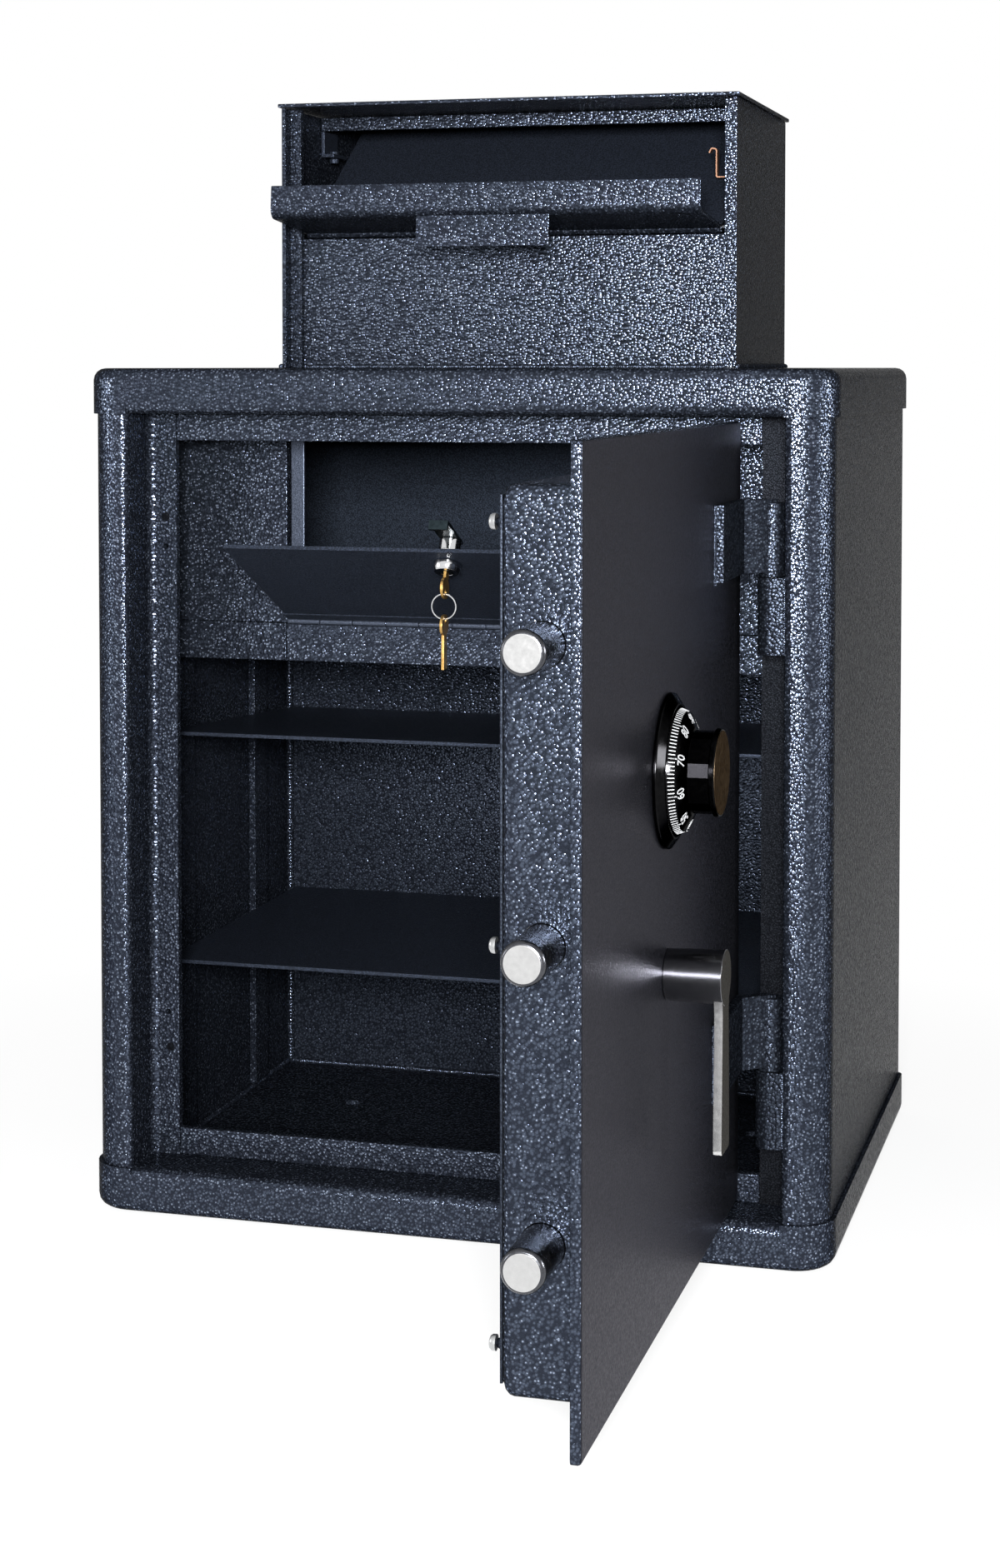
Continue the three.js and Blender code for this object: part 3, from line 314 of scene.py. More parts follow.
# the door's face: a thinner, almost smooth coat, greyer and paler at a low angle
doorPaint = {
    "dark": "#28292e",
    "light": "#393a41",
    "paintedGlint": "#393a41",
    "pebble": 1.2,
    "depth": 0.12,
    "flow": 0.25,
    "gloss": 0.34,
    "flake": 1.0,
    "grazing": "#c4c3c6",
}

# thin sheets: the same thin coat in blue-black
finePaint = dict(doorPaint, dark="#23272f", light="#363b45", paintedGlint="#363b45", flake=0.9, grazing="#9a9ca2")
innerPaint = dict(finePaint, light="#323845", paintedGlint="#323845", flake=0.6, grazing="#5a5a5e")
# a lighter copy of it: painted light on the locker's stop strips, also used on the flap hinge's knuckles
litStopPaint = dict(finePaint, dark="#3e4450", light="#4d5361")

# darker where the photograph shows shade: inside the locker, and the frame beside the hinges
lockerShadePaint = dict(innerPaint, dark="#1c2027", light="#2a303a", paintedGlint="#2a303a")
shadedPaint = dict(lockerShadePaint, dark="#0c0d10", light="#17191d", paintedGlint="#2a2c31")

# where each part of the pebble begins and ends, from its crown at 0 outwards, and how the sheen wanders
enamelLook = {
    "smoothness": 0.18,
    "roundness": 2.0,
    "flowShare": 1.6,
    "cloudShare": 1.4,
    "valley": (0.02, 0.34),
    "crest": (0.01, 0.11),
    "chosen": (0.38, 0.68),
    "sheenBelow": 0.06,
    "sheenAbove": 0.10,
    "shine": 0.06,
}

# the part of a noise's range that is used
noiseLow, noiseHigh = 0.3, 0.7


def enamelMaterial(name, paint):
    # hammered enamel with metal flake: rounded pebbles, a painted glint (a bright spot in the colour) on
    # about a third of them, and hardly any shine at a low angle
    material = newMaterial(name)
    look = enamelLook
    place = addNode(material, "ShaderNodeTexCoord").outputs["Object"]
    pebbles = addNode(material, "ShaderNodeTexVoronoi",
                      {"feature": "SMOOTH_F1", "Scale": perMetre(paint["pebble"]),
                       "Smoothness": look["smoothness"]},
                      {"Vector": place})
    crown = addNode(material, "ShaderNodeMath", {"operation": "POWER", 1: look["roundness"]},
                    {0: pebbles.outputs["Distance"]})
    flow = addNode(material, "ShaderNodeTexNoise",
                   {"Scale": perMetre(paint["pebble"] * look["flowShare"]), "Detail": 3.0, "Roughness": 0.6},
                   {"Vector": place})
    height = addNode(material, "ShaderNodeMix",
                     {"data_type": "FLOAT", 0: paint["flow"]},
                     {2: crown.outputs[0], 3: flow.outputs["Fac"]})
    bump = addNode(material, "ShaderNodeBump",
                   {"Strength": 1.0, "Distance": paint["depth"] * mm, "invert": True},
                   {"Height": height.outputs[0]})
    cloud = addNode(material, "ShaderNodeTexNoise",
                    {"Scale": perMetre(paint["pebble"] * look["cloudShare"]), "Detail": 2.0},
                    {"Vector": place})
    valley = addNode(material, "ShaderNodeMapRange",
                     {"From Min": look["valley"][0], "From Max": look["valley"][1]},
                     {"Value": crown.outputs[0]})
    tone = addNode(material, "ShaderNodeMix",
                   {"data_type": "RGBA", 6: linear(paint["light"]), 7: linear(paint["dark"])},
                   {0: valley.outputs["Result"]})
    # painted glint: the crest of about a third of the pebbles takes the bright glint colour
    crest = addNode(material, "ShaderNodeMapRange",
                    {"From Min": look["crest"][0], "From Max": look["crest"][1],
                     "To Min": 1.0, "To Max": 0.0},
                    {"Value": crown.outputs[0]})
    chosen = addNode(material, "ShaderNodeMapRange",
                     {"From Min": look["chosen"][0], "From Max": look["chosen"][1]},
                     {"Value": pebbles.outputs["Color"]})
    bright = addNode(material, "ShaderNodeMath", {"operation": "MULTIPLY"},
                     {0: crest.outputs["Result"], 1: chosen.outputs["Result"]})
    paintedGlint = addNode(material, "ShaderNodeMix", {"data_type": "RGBA", 7: linear(paint["paintedGlint"])},
                    {0: bright.outputs[0], 6: tone.outputs[2]})
    sheen = addNode(material, "ShaderNodeMapRange",
                    {"From Min": noiseLow, "From Max": noiseHigh,
                     "To Min": paint["gloss"] - look["sheenBelow"],
                     "To Max": paint["gloss"] + look["sheenAbove"]},
                    {"Value": cloud.outputs["Fac"]})
    shaderOf(material,
             {"Metallic": paint["flake"], "Specular Tint": linear(paint["grazing"]),
              "Specular IOR Level": look["shine"]},
             {"Base Color": paintedGlint.outputs[2], "Roughness": sheen.outputs["Result"],
              "Normal": bump.outputs["Normal"]})
    return material


hammeredEnamel = enamelMaterial("hammeredEnamel", hammeredPaint)
smoothEnamel = enamelMaterial("smoothEnamel", finePaint)
hingeEnamel = enamelMaterial("hingeEnamel", hingePaint)
doorEnamel = enamelMaterial("doorEnamel", doorPaint)
innerEnamel = enamelMaterial("innerEnamel", innerPaint)
litStopEnamel = enamelMaterial("litStopEnamel", litStopPaint)
lockerShadeEnamel = enamelMaterial("lockerShadeEnamel", lockerShadePaint)
shadedEnamel = enamelMaterial("shadedEnamel", shadedPaint)


metalMarks = {"size": 3.2, "depth": 0.02}


def plainMetal(name, color, rough, wear, grazing="#ffffff"):
    # a metal whose sheen varies with fine handling marks
    material = newMaterial(name)
    place = addNode(material, "ShaderNodeTexCoord").outputs["Object"]
    marks = addNode(material, "ShaderNodeTexNoise",
                    {"Scale": perMetre(metalMarks["size"]), "Detail": 5.0, "Roughness": 0.65},
                    {"Vector": place})
    sheen = addNode(material, "ShaderNodeMapRange",
                    {"From Min": noiseLow, "From Max": noiseHigh, "To Min": rough, "To Max": rough + wear},
                    {"Value": marks.outputs["Fac"]})
    bump = addNode(material, "ShaderNodeBump", {"Strength": 0.5, "Distance": metalMarks["depth"] * mm},
                   {"Height": marks.outputs["Fac"]})
    tone = addNode(material, "ShaderNodeMix",
                   {"data_type": "RGBA", 6: linear(color[0]), 7: linear(color[1])}, {0: marks.outputs["Fac"]})
    shaderOf(material, {"Metallic": 1.0, "Specular Tint": linear(grazing)},
             {"Base Color": tone.outputs[2], "Roughness": sheen.outputs["Result"],
              "Normal": bump.outputs["Normal"]})
    return material


# the lever: satin grey faces, a turned hub with a sharp band of light, and a painted highlight on its
# front-facing edges
brushedSteel = plainMetal("brushedSteel", ("#5c5b59", "#666563"), 0.26, 0.04, grazing="#8c8b89")
turnedSteel = plainMetal("turnedSteel", ("#66676b", "#737478"), 0.18, 0.03)
# bolts and pins: grey-black oxide, with bolt ends ground bright; the same bright steel is painted on the
# lever's front-facing edges as a highlight
darkOxideSteel = plainMetal("darkOxideSteel", ("#424348", "#5c5d61"), 0.2, 0.12)
polishedEndAndLeverHighlight = plainMetal("polishedEndAndLeverHighlight", ("#cfcfcf", "#dddddd"), 0.16, 0.06)
# cam lock and keys: mirror-like chrome, blued cam, yellow brass with a soft sheen, bright nickel ring
polishedChrome = plainMetal("polishedChrome", ("#c8c9cb", "#dedfe0"), 0.08, 0.10)
bluedZinc = plainMetal("bluedZinc", ("#20282c", "#333d41"), 0.25, 0.15)
satinBrass = plainMetal("satinBrass", ("#a8834a", "#c9a566"), 0.28, 0.14)
nickelWire = plainMetal("nickelWire", ("#aeb0b2", "#d0d1d3"), 0.18, 0.10)
# boltwork and screws: pale zinc; the head's spring strip: dull, browned copper; the knob's face: brown bronze
zincPlate = plainMetal("zincPlate", ("#a9abac", "#c9cacb"), 0.25, 0.15)
tarnishedCopper = plainMetal("tarnishedCopper", ("#5c4236", "#7f6250"), 0.40, 0.2)
bronzedKnobFace = plainMetal("bronzedKnobFace", ("#4e4233", "#605343"), 0.30, 0.12, grazing="#6e6558")

orangePeel = {"size": 3, "depth": 0.03, "wander": 0.08}


def moulded(name, dark, light, rough, flake, grazing):
    # a smooth moulded or enamelled skin with a faint orange peel
    material = newMaterial(name)
    place = addNode(material, "ShaderNodeTexCoord").outputs["Object"]
    peel = addNode(material, "ShaderNodeTexNoise", {"Scale": perMetre(orangePeel["size"]), "Detail": 3.0},
                   {"Vector": place})
    bump = addNode(material, "ShaderNodeBump", {"Strength": 0.3, "Distance": orangePeel["depth"] * mm},
                   {"Height": peel.outputs["Fac"]})
    tone = addNode(material, "ShaderNodeMix",
                   {"data_type": "RGBA", 6: linear(dark), 7: linear(light)}, {0: peel.outputs["Fac"]})
    sheen = addNode(material, "ShaderNodeMapRange",
                    {"From Min": noiseLow, "From Max": noiseHigh,
                     "To Min": rough, "To Max": rough + orangePeel["wander"]},
                    {"Value": peel.outputs["Fac"]})
    shaderOf(material, {"Metallic": flake, "Specular Tint": linear(grazing)},
             {"Base Color": tone.outputs[2], "Roughness": sheen.outputs["Result"],
              "Normal": bump.outputs["Normal"]})
    return material


# the dial: piano-black enamel that mirrors the lamps, with matt white paint in its marks
glossBlackEnamel = moulded("glossBlackEnamel", "#121213", "#1c1c1d", 0.10, 1.0, "#a2a2a2")
whiteDialFill = moulded("whiteDialFill", "#8b8d8f", "#9a9b9d", 0.5, 0.0, "#ffffff")
print("materials ready")


# plates, sheets and small steelwork keep the shape of their nodes, with their edges eased and a real finish;
# a few faces take painted shade instead, and the lever's front edges a painted highlight

areas = {
    "hub": (-447.3, 263.1),
    "hubReach": 17.6,
    "hingeStrip": (242, -150),
    "lockerLine": 436.5,
    "trayInside": -20,
    "straight": 0.9,
    "towards": 0.5,
}


def onHub(face):
    # close to the handle's axis
    y, z = areas["hub"]
    return dist((face.center.y, face.center.z), (y * mm, z * mm)) < areas["hubReach"] * mm


def onHubSide(face):
    return abs(face.normal.x) < areas["straight"] and onHub(face)


# the lever's faces that face the front, away from the hub: they take a painted highlight
def onLeverEdge(face):
    return face.normal.y < -areas["towards"] and not onHub(face)


def onDoorEdge(face):
    return abs(face.normal.x) < areas["straight"]


def onHingeStrip(face):
    # the frame strip beside the hinges, which takes painted shade
    x, y = areas["hingeStrip"]
    return face.center.x < x * mm and face.center.y < y * mm


# back-panel faces above the locker line that face the front: they take painted shade
def behindLocker(face):
    return face.center.z > areas["lockerLine"] * mm and face.normal.y < -areas["straight"]


def insideHopper(face):
    return face.center.y > areas["trayInside"] * mm


def otherFinishes(piece, finishes):
    # the faces that pass a test take its material: mostly a finish of their own, but painted shade on the
    # back panel and the hinge-side frame strip, and a painted highlight on the lever's front edges
    for number, (material, test) in enumerate(finishes, 1):
        piece.data.materials.append(material)
        for face in piece.data.polygons:
            if test(face):
                face.material_index = number


dressed = {
    "outside": {
        "material": hammeredEnamel,
        "nodes": ("left_side", "bottom_cap", "top_cap", "bottom_rail", "top_rail",
                  "locker_floor", "locker_right_jamb", "locker_left_jamb", "locker_header",
                  "head_right_wall", "head_left_wall", "head_back", "head_front_panel", "head_top",
                  "head_cross_rail",
                  "left_front_standard", "left_rear_standard", "right_front_standard", "right_rear_standard",
                  "flange_hinge_leaf", "bolt_box"),
        "edge": 0.8,
    },
    "hinges": {
        "material": hingeEnamel,
        "nodes": ("upper_body_hinge", "lower_body_hinge", "upper_door_hinge", "lower_door_hinge"),
        "edge": 0.8,
    },
    # the right side, with painted shade on its frame strip beside the hinges
    "hingeSide": {
        "material": hammeredEnamel,
        "nodes": ("right_side",),
        "edge": 0.8,
        "others": ((shadedEnamel, onHingeStrip),),
    },
    # the back panel, with painted shade on its face behind the locker
    "backPanel": {
        "material": hammeredEnamel,
        "nodes": ("back_panel",),
        "edge": 0.8,
        "cutAt": areas["lockerLine"],
        "others": ((lockerShadeEnamel, behindLocker),),
    },
    "cover": {"material": smoothEnamel, "nodes": ("inner_cover",), "edge": 0.5},
    "inside": {
        "material": innerEnamel,
        "nodes": ("locker_flap", "flap_hinge_leaf", "lower_shelf", "upper_shelf", "head_bracket"),
        "edge": 0.5,
    },
    "cam": {"material": bluedZinc, "nodes": ("cam_lock_cam",), "edge": 0.3},
    "door": {
        "material": doorEnamel,
        "nodes": ("door_plate",),
        "edge": 0.5,
        "others": ((hammeredEnamel, onDoorEdge),),
    },
    "pins": {
        "material": darkOxideSteel,
        "nodes": ("handle_crank", "dial_spindle", "hopper_pin", "upper_hinge_pin", "lower_hinge_pin"),
        "edge": 0.3,
    },
    "boltwork": {
        "material": zincPlate,
        "nodes": ("bolt_guide", "bolt_carriage", "lock_case", "lock_cover", "lock_bolt", "flap_hinge_pin"),
        "edge": 0.3,
    },
    "camLock": {"material": polishedChrome, "nodes": ("cam_lock_body", "cam_lock_nut"), "edge": 0.3},
    "lever": {
        "material": brushedSteel,
        "nodes": ("door_handle",),
        "edge": 0.8,
        # a painted highlight on the lever's front-facing edges
        "others": ((turnedSteel, onHubSide), (polishedEndAndLeverHighlight, onLeverEdge)),
    },
    "keys": {"material": satinBrass, "nodes": ("locker_key", "spare_key"), "edge": 0.2},
    "keyRing": {"material": nickelWire, "nodes": ("key_ring",), "edge": 0},
    "dialRing": {"material": glossBlackEnamel, "nodes": ("dial_ring",), "edge": 0.5},
}

nodeBody = {n: body for body, names in frame["record"]["behaviour"]["bodies"].items() for n in names}


def copyOfNode(node):
    # a merged copy of the node's mesh, with its flat faces made whole again
    piece = bpy.data.objects.new(node + "Finished", frame["nodes"][node].data.copy())
    bpy.context.collection.objects.link(piece)
    editAll(piece)
    bpy.ops.mesh.remove_doubles(threshold=shaping["sameNodeVertex"] * mm)
    bpy.ops.mesh.dissolve_limited(angle_limit=radians(shaping["flatDegrees"]))
    toObject()
    return piece


def dressNode(node, material, edge, others=(), cutAt=None):
    # cutAt is the height in mm of a line across the sheet where the material changes; on the back panel,
    # painted shade begins above it
    piece = copyOfNode(node)
    if cutAt:
        editAll(piece)
        bpy.ops.mesh.bisect(plane_co=(0, 0, cutAt * mm), plane_no=(0, 0, 1))
        toObject()
    if edge:
        softenEdges(piece, edge * mm)
    smoothFaces(piece)
    settle(piece, node + "Finished", nodeBody[node], material, (node,))
    otherFinishes(piece, others)


addCamera()
for group in dressed.values():
    for node in group["nodes"]:
        dressNode(node, group["material"], group["edge"], group.get("others", ()), group.get("cutAt"))
print("plates and steelwork dressed")


# combination dial: black cone with white ticks and numbers, faceted neck and bronze-faced knob

dial = {
    "face": 214,
    "centre": (-447.3, 388.98),
    "root": (1.0, 38.8),
    "rim": (6.8, 38.6),
    "tickCone": (12.0, 36.6),
    "numberCone": (16.6, 27.6),
    "top": (16.9, 24.4),
    "neck": [(15.5, 25.4), (29.8, 25.4)],
    "neckFlats": 18,
    "neckEdge": 0.35,
    "neckEdgeDegrees": 15,
    "neckFlatDegrees": 12,
    "flange": [(29.6, 26.2), (30.3, 27), (32.7, 27), (33.3, 26.3)],
    "knobFace": [(32.4, 25.7), (33.55, 25.7), (33.7, 25.2)],
    "coneSides": 96,
    "knobSides": 72,
    "ticks": ((4.2, 100), (5.4, 10)),
    "tickWidth": 0.62,
    "tickDepth": 0.3,
    "tickInset": 0.5,
    "tickLift": 0.02,
    "numberHeight": 9.4,
    "numberDepth": 0.12,
    "numberWeight": 0.06,
    "numberNarrowing": 0.78,
    "numberLift": 0.05,
    "sixtyAt": -16,
    "tenDegrees": 36,
}


def dialPoint(out, radius, angle):
    # a point on the dial: angle is from the side nearest the camera, upwards
    y, z = dial["centre"]
    a = radians(angle)
    return Vector((dial["face"] + out, y - radius * cos(a), z + radius * sin(a))) * mm


def addTicks(length, count, first):
    # a ring of ticks on the outer cone, spun from one
    (rimOut, rimRadius), (coneOut, coneRadius) = dial["rim"], dial["tickCone"]
    slope = atan2(rimRadius - coneRadius, coneOut - rimOut)
    deselectAll()
    bpy.ops.mesh.primitive_cube_add(size=1)
    tick = bpy.context.object
    tick.scale = (length * mm, dial["tickDepth"] * mm, dial["tickWidth"] * mm)
    applyPlace(tick)
    out = rimOut + dial["tickInset"] + length / 2
    radius = rimRadius - (out - rimOut) * tan(slope)
    tick.rotation_euler = (0, 0, slope)
    tick.location = dialPoint(out, radius + dial["tickLift"], 0)
    applyPlace(tick)
    around = Vector((0, *dial["centre"])) * mm
    editAll(tick)
    bpy.ops.mesh.spin(dupli=True, steps=count, angle=2 * pi, center=around, axis=(1, 0, 0))
    bpy.ops.mesh.select_all(action="SELECT")
    bpy.ops.mesh.remove_doubles(threshold=shaping["sameVertex"] * mm)
    toObject()
    turnAbout(tick, around, first)
    return tick


def turnAbout(piece, around, angle):
    # turns a piece about the dial's axis, upwards on the camera's side
    turn = Matrix.Rotation(radians(-angle), 4, "X")
    piece.matrix_world = Matrix.Translation(around) @ turn @ Matrix.Translation(-around) @ piece.matrix_world
    applyPlace(piece)


def addNumber(value):
    # a number on the inner cone, its top away from the knob
    (lowOut, lowRadius), (highOut, highRadius) = dial["tickCone"], dial["numberCone"]
    angle = dial["sixtyAt"] + dial["tenDegrees"] * (value / 10 - 6)
    deselectAll()
    bpy.ops.object.text_add()
    text = bpy.context.object
    text.data.body = str(value)
    text.data.size = dial["numberHeight"] * mm
    text.data.align_x = "CENTER"
    text.data.align_y = "CENTER"
    text.data.extrude = dial["numberDepth"] * mm
    text.data.offset = dial["numberWeight"] * mm
    bpy.ops.object.convert(target="MESH")
    a = radians(angle)
    drop = lowRadius - highRadius
    up = Vector((lowOut - highOut, -drop * cos(a), drop * sin(a))).normalized()
    across = Vector((0, sin(a), cos(a)))
    normal = across.cross(up)
    place = dialPoint((lowOut + highOut) / 2, (lowRadius + highRadius) / 2, angle)
    basis = Matrix((across * dial["numberNarrowing"], up, normal)).transposed().to_4x4()
    text.matrix_world = Matrix.Translation(place + normal * dial["numberLift"] * mm) @ basis
    applyPlace(text)
    return text


def addDial():
    place = (dial["face"], *dial["centre"])
    cone = turned("X", place, [dial[ring] for ring in ("root", "rim", "tickCone", "numberCone", "top")],
                  dial["coneSides"])
    settle(cone, "dialCone", "dial", glossBlackEnamel, ("dial",))
    neck = turned("X", place, dial["neck"], dial["neckFlats"], True)
    softenEdges(neck, dial["neckEdge"] * mm, angle=dial["neckEdgeDegrees"])
    smoothFaces(neck, dial["neckFlatDegrees"])
    settle(neck, "dialNeck", "dial", glossBlackEnamel)
    flange = turned("X", place, dial["flange"], dial["knobSides"])
    settle(flange, "dialFlange", "dial", glossBlackEnamel)
    face = turned("X", place, dial["knobFace"], dial["knobSides"])
    settle(face, "knobFace", "dial", bronzedKnobFace)
    ticks = joined([addTicks(length, count, dial["sixtyAt"]) for length, count in dial["ticks"]])
    settle(ticks, "dialTicks", "dial", whiteDialFill)
    numbers = joined([addNumber(value) for value in range(0, 100, 10)])
    settle(numbers, "dialNumbers", "dial", whiteDialFill)


addDial()
print("dial ready")


# locking bolts: dark oxide bars with a rounded shoulder and a ground, polished end; shoulder and end are
# given as distance back from the tip and inwards from the radius

boltBar = {
    "x": 186.15,
    "heights": {"lower_bolt": 156, "middle_bolt": 321, "upper_bolt": 486},
    "root": -580.3,
    "tip": -690.6,
    "radius": 12.7,
    "shoulder": ((3.2, 0), (2.0, 0.25), (1.0, 0.85), (0.35, 1.5), (0, 2.3)),
    "endRadius": 10.4,
    "end": ((0.6, 0), (-0.05, 0.05), (-0.15, 0.4)),
}


def addBolts():
    reach = boltBar["tip"] - boltBar["root"]
    shoulder = [(reach + back, boltBar["radius"] - inwards) for back, inwards in boltBar["shoulder"]]
    groundEnd = [(reach + back, boltBar["endRadius"] - inwards) for back, inwards in boltBar["end"]]
    for node, z in boltBar["heights"].items():
        place = (boltBar["x"], boltBar["root"], z)
        bar = turned("Y", place, [(0, boltBar["radius"])] + shoulder)
        settle(bar, node + "Bar", "boltwork", darkOxideSteel, (node,))
        end = turned("Y", place, groundEnd)
        settle(end, node + "End", "boltwork", polishedEndAndLeverHighlight)


addBolts()
print("bolts ready")


# deposit hopper: one folded sheet with a pull tab, open as the photograph shows it

hopper = {
    "axis": (-26.5, 742.9),
    "open": 84.5,
    "halfWidth": 167.7,
    "sheet": 3,
    "back": 172,
    "backDegrees": 141,
    "face": 87.5,
    "lip": 23.5,
    "bend": 6.5,
    "tabHalf": 52,
    "tabDrop": 24.5,
    "tabInset": 5,
    "edge": 0.8,
    "eye": 4.3,
    "eyeSides": 24,
}


def hopperPoint(y, z):
    # a point of the shut tray, in mm from its rod, turned to where the open tray has it
    a = radians(hopper["open"])
    return (hopper["axis"][0] + y * cos(a) - z * sin(a), hopper["axis"][1] + y * sin(a) + z * cos(a))


def hopperSheet(points, halfWidth, bend):
    path = [hopperPoint(*point) for point in points]
    sheet = foldedSheet(path, -halfWidth, halfWidth, hopper["sheet"], bend)
    softenEdges(sheet, hopper["edge"] * mm)
    smoothFaces(sheet)
    return sheet


def addHopper():
    back = radians(hopper["backDegrees"])
    backEdge = (hopper["back"] * sin(back), hopper["back"] * cos(back))
    face, wide = hopper["face"], hopper["halfWidth"]
    tray = hopperSheet([backEdge, (0, 0), (0, face), (hopper["lip"], face)], wide, hopper["bend"])
    tabTop = face - hopper["tabInset"]
    tab = hopperSheet([(0, tabTop), (-hopper["tabDrop"], tabTop)], hopper["tabHalf"], 0)
    eye = turned("X", (0, *hopper["axis"]), [(-wide, hopper["eye"]), (wide, hopper["eye"])],
                 hopper["eyeSides"])
    tray = joined([tray, tab, eye])
    settle(tray, "hopperTray", "hopper", hammeredEnamel, ("hopper_tray",))
    otherFinishes(tray, ((innerEnamel, insideHopper),))


addHopper()
print("hopper ready")


# weld beads, painted over with the rest: body, slot, start, end and radius of the bead

welds = {
    "rearLeftCorner": ("cabinet", "back_panel", (-268.6, 202.4, 10), (-268.6, 202.4, 405), 3.6),
    "rearRightCorner": ("cabinet", "back_panel", (270.6, 202.4, 10), (270.6, 202.4, 405), 2.6),
    "floorBack": ("cabinet", "bottom_cap", (-268, 202.4, 8.2), (268, 202.4, 8.2), 2.6),
    "floorLeft": ("cabinet", "bottom_cap", (-270.6, -155, 8.2), (-270.6, 200, 8.2), 2.4),
    "floorRight": ("cabinet", "bottom_cap", (270.6, -155, 8.2), (270.6, 200, 8.2), 2.4),
    "flangeLeft": ("cabinet", "locker_floor", (-163.6, -95.4, 408.5), (-163.6, -95.4, 435.5), 1.4),
    "flangeRight": ("cabinet", "locker_floor", (163.6, -95.4, 408.5), (163.6, -95.4, 435.5), 1.4),
    "upperStrap": ("door", "upper_door_hinge", (214.6, -300.2, 491), (214.6, -300.2, 543), 1.6),
    "lowerStrap": ("door", "lower_door_hinge", (214.6, -300.2, 142.5), (214.6, -300.2, 194), 1.6),
    "upperKnuckle": ("cabinet", "upper_body_hinge", (246.2, -207.4, 436.5), (246.2, -207.4, 488), 1.9),
    "lowerKnuckle": ("cabinet", "lower_body_hinge", (246.2, -207.4, 87.8), (246.2, -207.4, 139), 1.9),
    "headFront": ("cabinet", "head_front_panel", (-170, -29.2, 636), (170, -29.2, 636), 2),
    "headLeft": ("cabinet", "head_left_wall", (-183.4, -48, 636), (-183.4, 176, 636), 2.4),
    "headRight": ("cabinet", "head_right_wall", (183.4, -48, 636), (183.4, 176, 636), 2.4),
}


def addWelds():
    for name, (body, slot, start, end, radius) in welds.items():
        settle(weldBead(start, end, radius), name + "Weld", body, hammeredEnamel)


addWelds()
print("welds ready")


# small fittings: stop strips and a bolt in the locker, dark discs of painted shade in the frame's holes,
# hinge knuckles, cover screws and the spring strip of the head

fittings = {
    "strip": {"x": (149, 160.3), "y": (-90.9, -88), "z": (437.2, 593.6), "edge": 0.9},
    "stripBolt": (-155, -90.8, 587),
    "boltHead": [(0.5, 3.2), (-0.2, 3.2), (-0.35, 2.7)],
    "boltHeadSides": 6,
    "frameHoles": ((-232.6, -168.6, 522.6), (-231, -168.6, 116.6)),
    "hole": [(0.3, 3.3), (-0.15, 3.3), (-0.2, 2.9)],
    "holeSides": 24,
    "knuckles": {"place": (-160.4, -96.6, 438.5), "length": 26.2, "radius": 2.75, "rounding": 0.3,
                 "sides": 20, "count": 12, "gap": 0.55},
    "screws": {"x": 156.6, "y": -635.1, "heights": (551.8, 317.8, 95.4)},
    "screwHead": [(0.4, 4.6), (-1.8, 4.5), (-2.9, 3.7), (-3.6, 2.2), (-3.8, 0.8)],
    "screwSides": 32,
    "copper": [(-179, 784.6), (-154, 784.6), (-154, 806.4), (-150, 807.4), (-148.2, 803.6)],
    "copperDepth": (20, 28),
    "copperThick": 1.0,
    "copperBend": 1.2,
}


def addStrips():
    strip = fittings["strip"]
    low, high = (Vector(corner) * mm for corner in zip(strip["x"], strip["y"], strip["z"]))
    for side, jamb in ((-1, "locker_left_jamb"), (1, "locker_right_jamb")):
        x, y, z = (low + high) / 2
        deselectAll()
        bpy.ops.mesh.primitive_cube_add(size=1, location=(side * x, y, z))
        bar = bpy.context.object
        bar.scale = high - low
        applyPlace(bar)
        softenEdges(bar, strip["edge"] * mm, 3)
        smoothFaces(bar)
        # the stop strips take the lighter, painted-light copy of the thin coat
        settle(bar, jamb + "Stop", "cabinet", litStopEnamel)


def addKnuckles():
    knuckles = fittings["knuckles"]
    long, wide, rounding = knuckles["length"], knuckles["radius"], knuckles["rounding"]
    profile = [(0, wide - rounding), (rounding, wide), (long - rounding, wide), (long, wide - rounding)]
    row = turned("X", knuckles["place"], profile, knuckles["sides"])
    repeatAlong(row, "repeat", knuckles["count"], ((long + knuckles["gap"]) * mm, 0, 0))
    # the knuckles take the same lighter, painted-light coat
    settle(row, "hingeKnuckles", "cabinet", litStopEnamel)


def addFittings():
    addStrips()
    head = turned("Y", fittings["stripBolt"], fittings["boltHead"], fittings["boltHeadSides"], True)
    settle(head, "stopStripBolt", "cabinet", darkOxideSteel)
    # dark discs of painted shade stand in for the shade inside the frame's two holes
    for number, place in enumerate(fittings["frameHoles"], 1):
        hole = turned("Y", place, fittings["hole"], fittings["holeSides"], True)
        settle(hole, f"frameHole{number}", "cabinet", shadedEnamel)
    addKnuckles()
    screws = fittings["screws"]
    for number, z in enumerate(screws["heights"], 1):
        dome = turned("X", (screws["x"], screws["y"], z), fittings["screwHead"], fittings["screwSides"])
        settle(dome, f"coverScrew{number}", "door", zincPlate)
    spring = foldedSheet(fittings["copper"], *fittings["copperDepth"], fittings["copperThick"],
                         fittings["copperBend"])
    spring.rotation_euler = (0, 0, pi / 2)
    applyPlace(spring)
    smoothFaces(spring)
    settle(spring, "springStrip", "cabinet", tarnishedCopper, ("head_spring_strip",))


addFittings()
print("fittings ready")


# studio: pale floor that fades to white, a key lamp from the front, a weak one from the left, a fill all
# round, and a card on the right that only shows mirrored, on the dial's ring

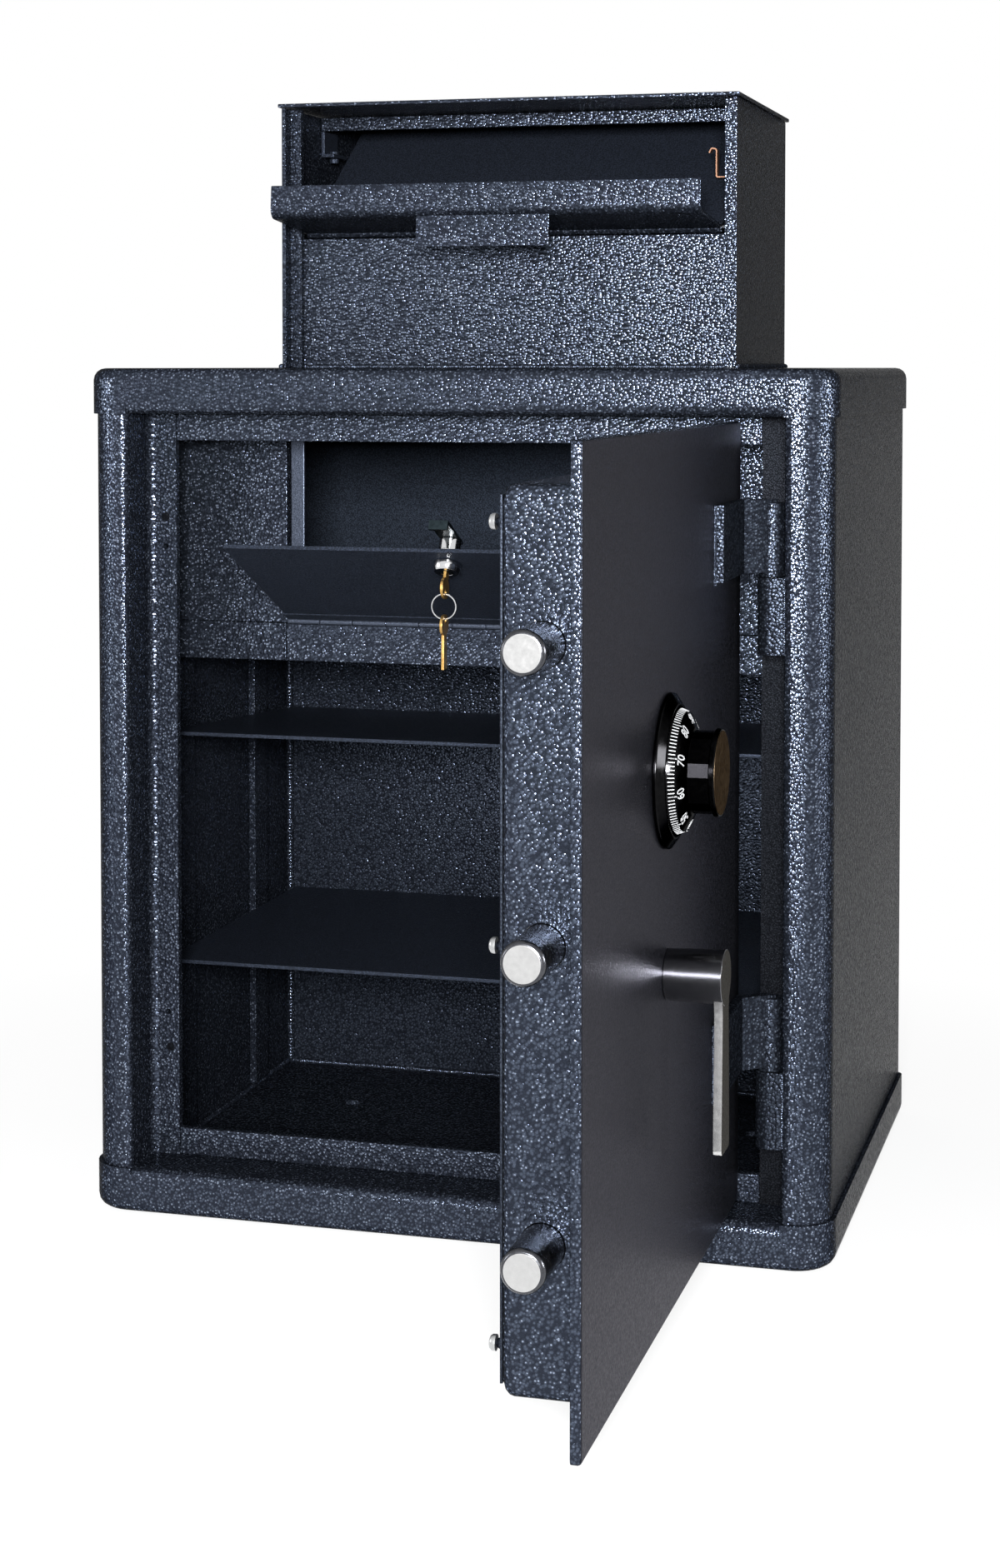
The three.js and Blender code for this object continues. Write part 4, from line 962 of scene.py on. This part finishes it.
studio = {
    "floorSize": 60,
    "floorPlace": (0, -0.2, -0.0005),
    "paper": "#f2f2f2",
    "paperRough": 0.8,
    "fade": (0.45, 0.95),
    "fadeLevels": (0.74, 1.0),
    "fill": 0.36,
    "behind": 0.4,
    "roomFront": (-0.2, 0.5),
    "floorFront": (-0.7, 0.1),
    "lamps": {
        "key": {"place": (0.64, -2.6, 0.86), "turn": (83, 0, 14), "size": 0.4, "power": 200},
        "left": {"place": (-1.9, -1.15, 0.75), "turn": (84, 0, -60), "size": 0.6, "power": 14},
        "card": {"place": (2.32, 0.04, 0.63), "turn": (84, 0, 104), "size": 0.45, "power": 26,
                 "mirroredOnly": True},
    },
}


def whiteForEyes(material, front):
    # the camera sees the white background, and so do shiny surfaces that face the front of the room
    path = addNode(material, "ShaderNodeLightPath")
    plain = addNode(material, "ShaderNodeMath", {"operation": "MAXIMUM"},
                    {0: path.outputs["Is Camera Ray"], 1: path.outputs["Is Transmission Ray"]})
    mirrored = addNode(material, "ShaderNodeMath", {"operation": "MULTIPLY"},
                       {0: front, 1: path.outputs["Is Glossy Ray"]})
    return addNode(material, "ShaderNodeMath", {"operation": "MAXIMUM"},
                   {0: plain.outputs[0], 1: mirrored.outputs[0]}).outputs[0]


def frontness(material, space, near, far):
    # 1 at the front of the room, falling to the level behind the object
    place = addNode(material, "ShaderNodeTexCoord").outputs[space]
    along = addNode(material, "ShaderNodeSeparateXYZ", {}, {0: place}).outputs["Y"]
    return addNode(material, "ShaderNodeMapRange",
                   {"From Min": near, "From Max": far, "To Min": 1.0, "To Max": studio["behind"]},
                   {"Value": along}).outputs["Result"]


def addRoom():
    world = bpy.data.worlds.new("studioRoom")
    bpy.context.scene.world = world
    world.use_nodes = True
    back = world.node_tree.nodes["Background"]
    back.inputs["Color"].default_value = (1, 1, 1, 1)
    front = frontness(world, "Generated", *studio["roomFront"])
    strength = addNode(world, "ShaderNodeMath", {"operation": "MAXIMUM", 1: studio["fill"]},
                       {0: whiteForEyes(world, front)})
    world.node_tree.links.new(strength.outputs[0], back.inputs["Strength"])


def floorPaper():
    # white paper that keeps the object's shadow near it and is plain white further off
    paper = newMaterial("paleFloorPaper")
    shader = shaderOf(paper, {"Base Color": linear(studio["paper"]), "Roughness": studio["paperRough"]})
    place = addNode(paper, "ShaderNodeTexCoord").outputs["Object"]
    reach = addNode(paper, "ShaderNodeVectorMath", {"operation": "LENGTH"}, {0: place})
    (start, end), (near, far) = studio["fade"], studio["fadeLevels"]
    fade = addNode(paper, "ShaderNodeMapRange",
                   {"From Min": start, "From Max": end, "To Min": near, "To Max": far},
                   {"Value": reach.outputs["Value"]})
    front = frontness(paper, "Object", *studio["floorFront"])
    amount = addNode(paper, "ShaderNodeMath", {"operation": "MULTIPLY"},
                     {0: fade.outputs["Result"], 1: whiteForEyes(paper, front)})
    white = addNode(paper, "ShaderNodeEmission", {"Color": (1, 1, 1, 1), "Strength": 1.0})
    mix = addNode(paper, "ShaderNodeMixShader", {},
                  {0: amount.outputs[0], 1: shader.outputs[0], 2: white.outputs[0]})
    paper.node_tree.links.new(mix.outputs[0], paper.node_tree.nodes["Material Output"].inputs["Surface"])
    return paper


def addFloor():
    deselectAll()
    bpy.ops.mesh.primitive_plane_add(size=studio["floorSize"], location=studio["floorPlace"])
    floor = bpy.context.object
    floor.name = "paleFloor"
    floor.data.materials.append(floorPaper())


def addLamps():
    for name, lamp in studio["lamps"].items():
        bpy.ops.object.light_add(type="AREA", location=lamp["place"])
        light = bpy.context.object
        light.name = name + "Lamp"
        light.rotation_euler = [radians(a) for a in lamp["turn"]]
        light.data.size = lamp["size"]
        light.data.energy = lamp["power"]
        light.visible_diffuse = not lamp.get("mirroredOnly", False)


bpy.context.scene.view_settings.view_transform = "Standard"
addRoom()
addFloor()
addLamps()
print("studio ready")
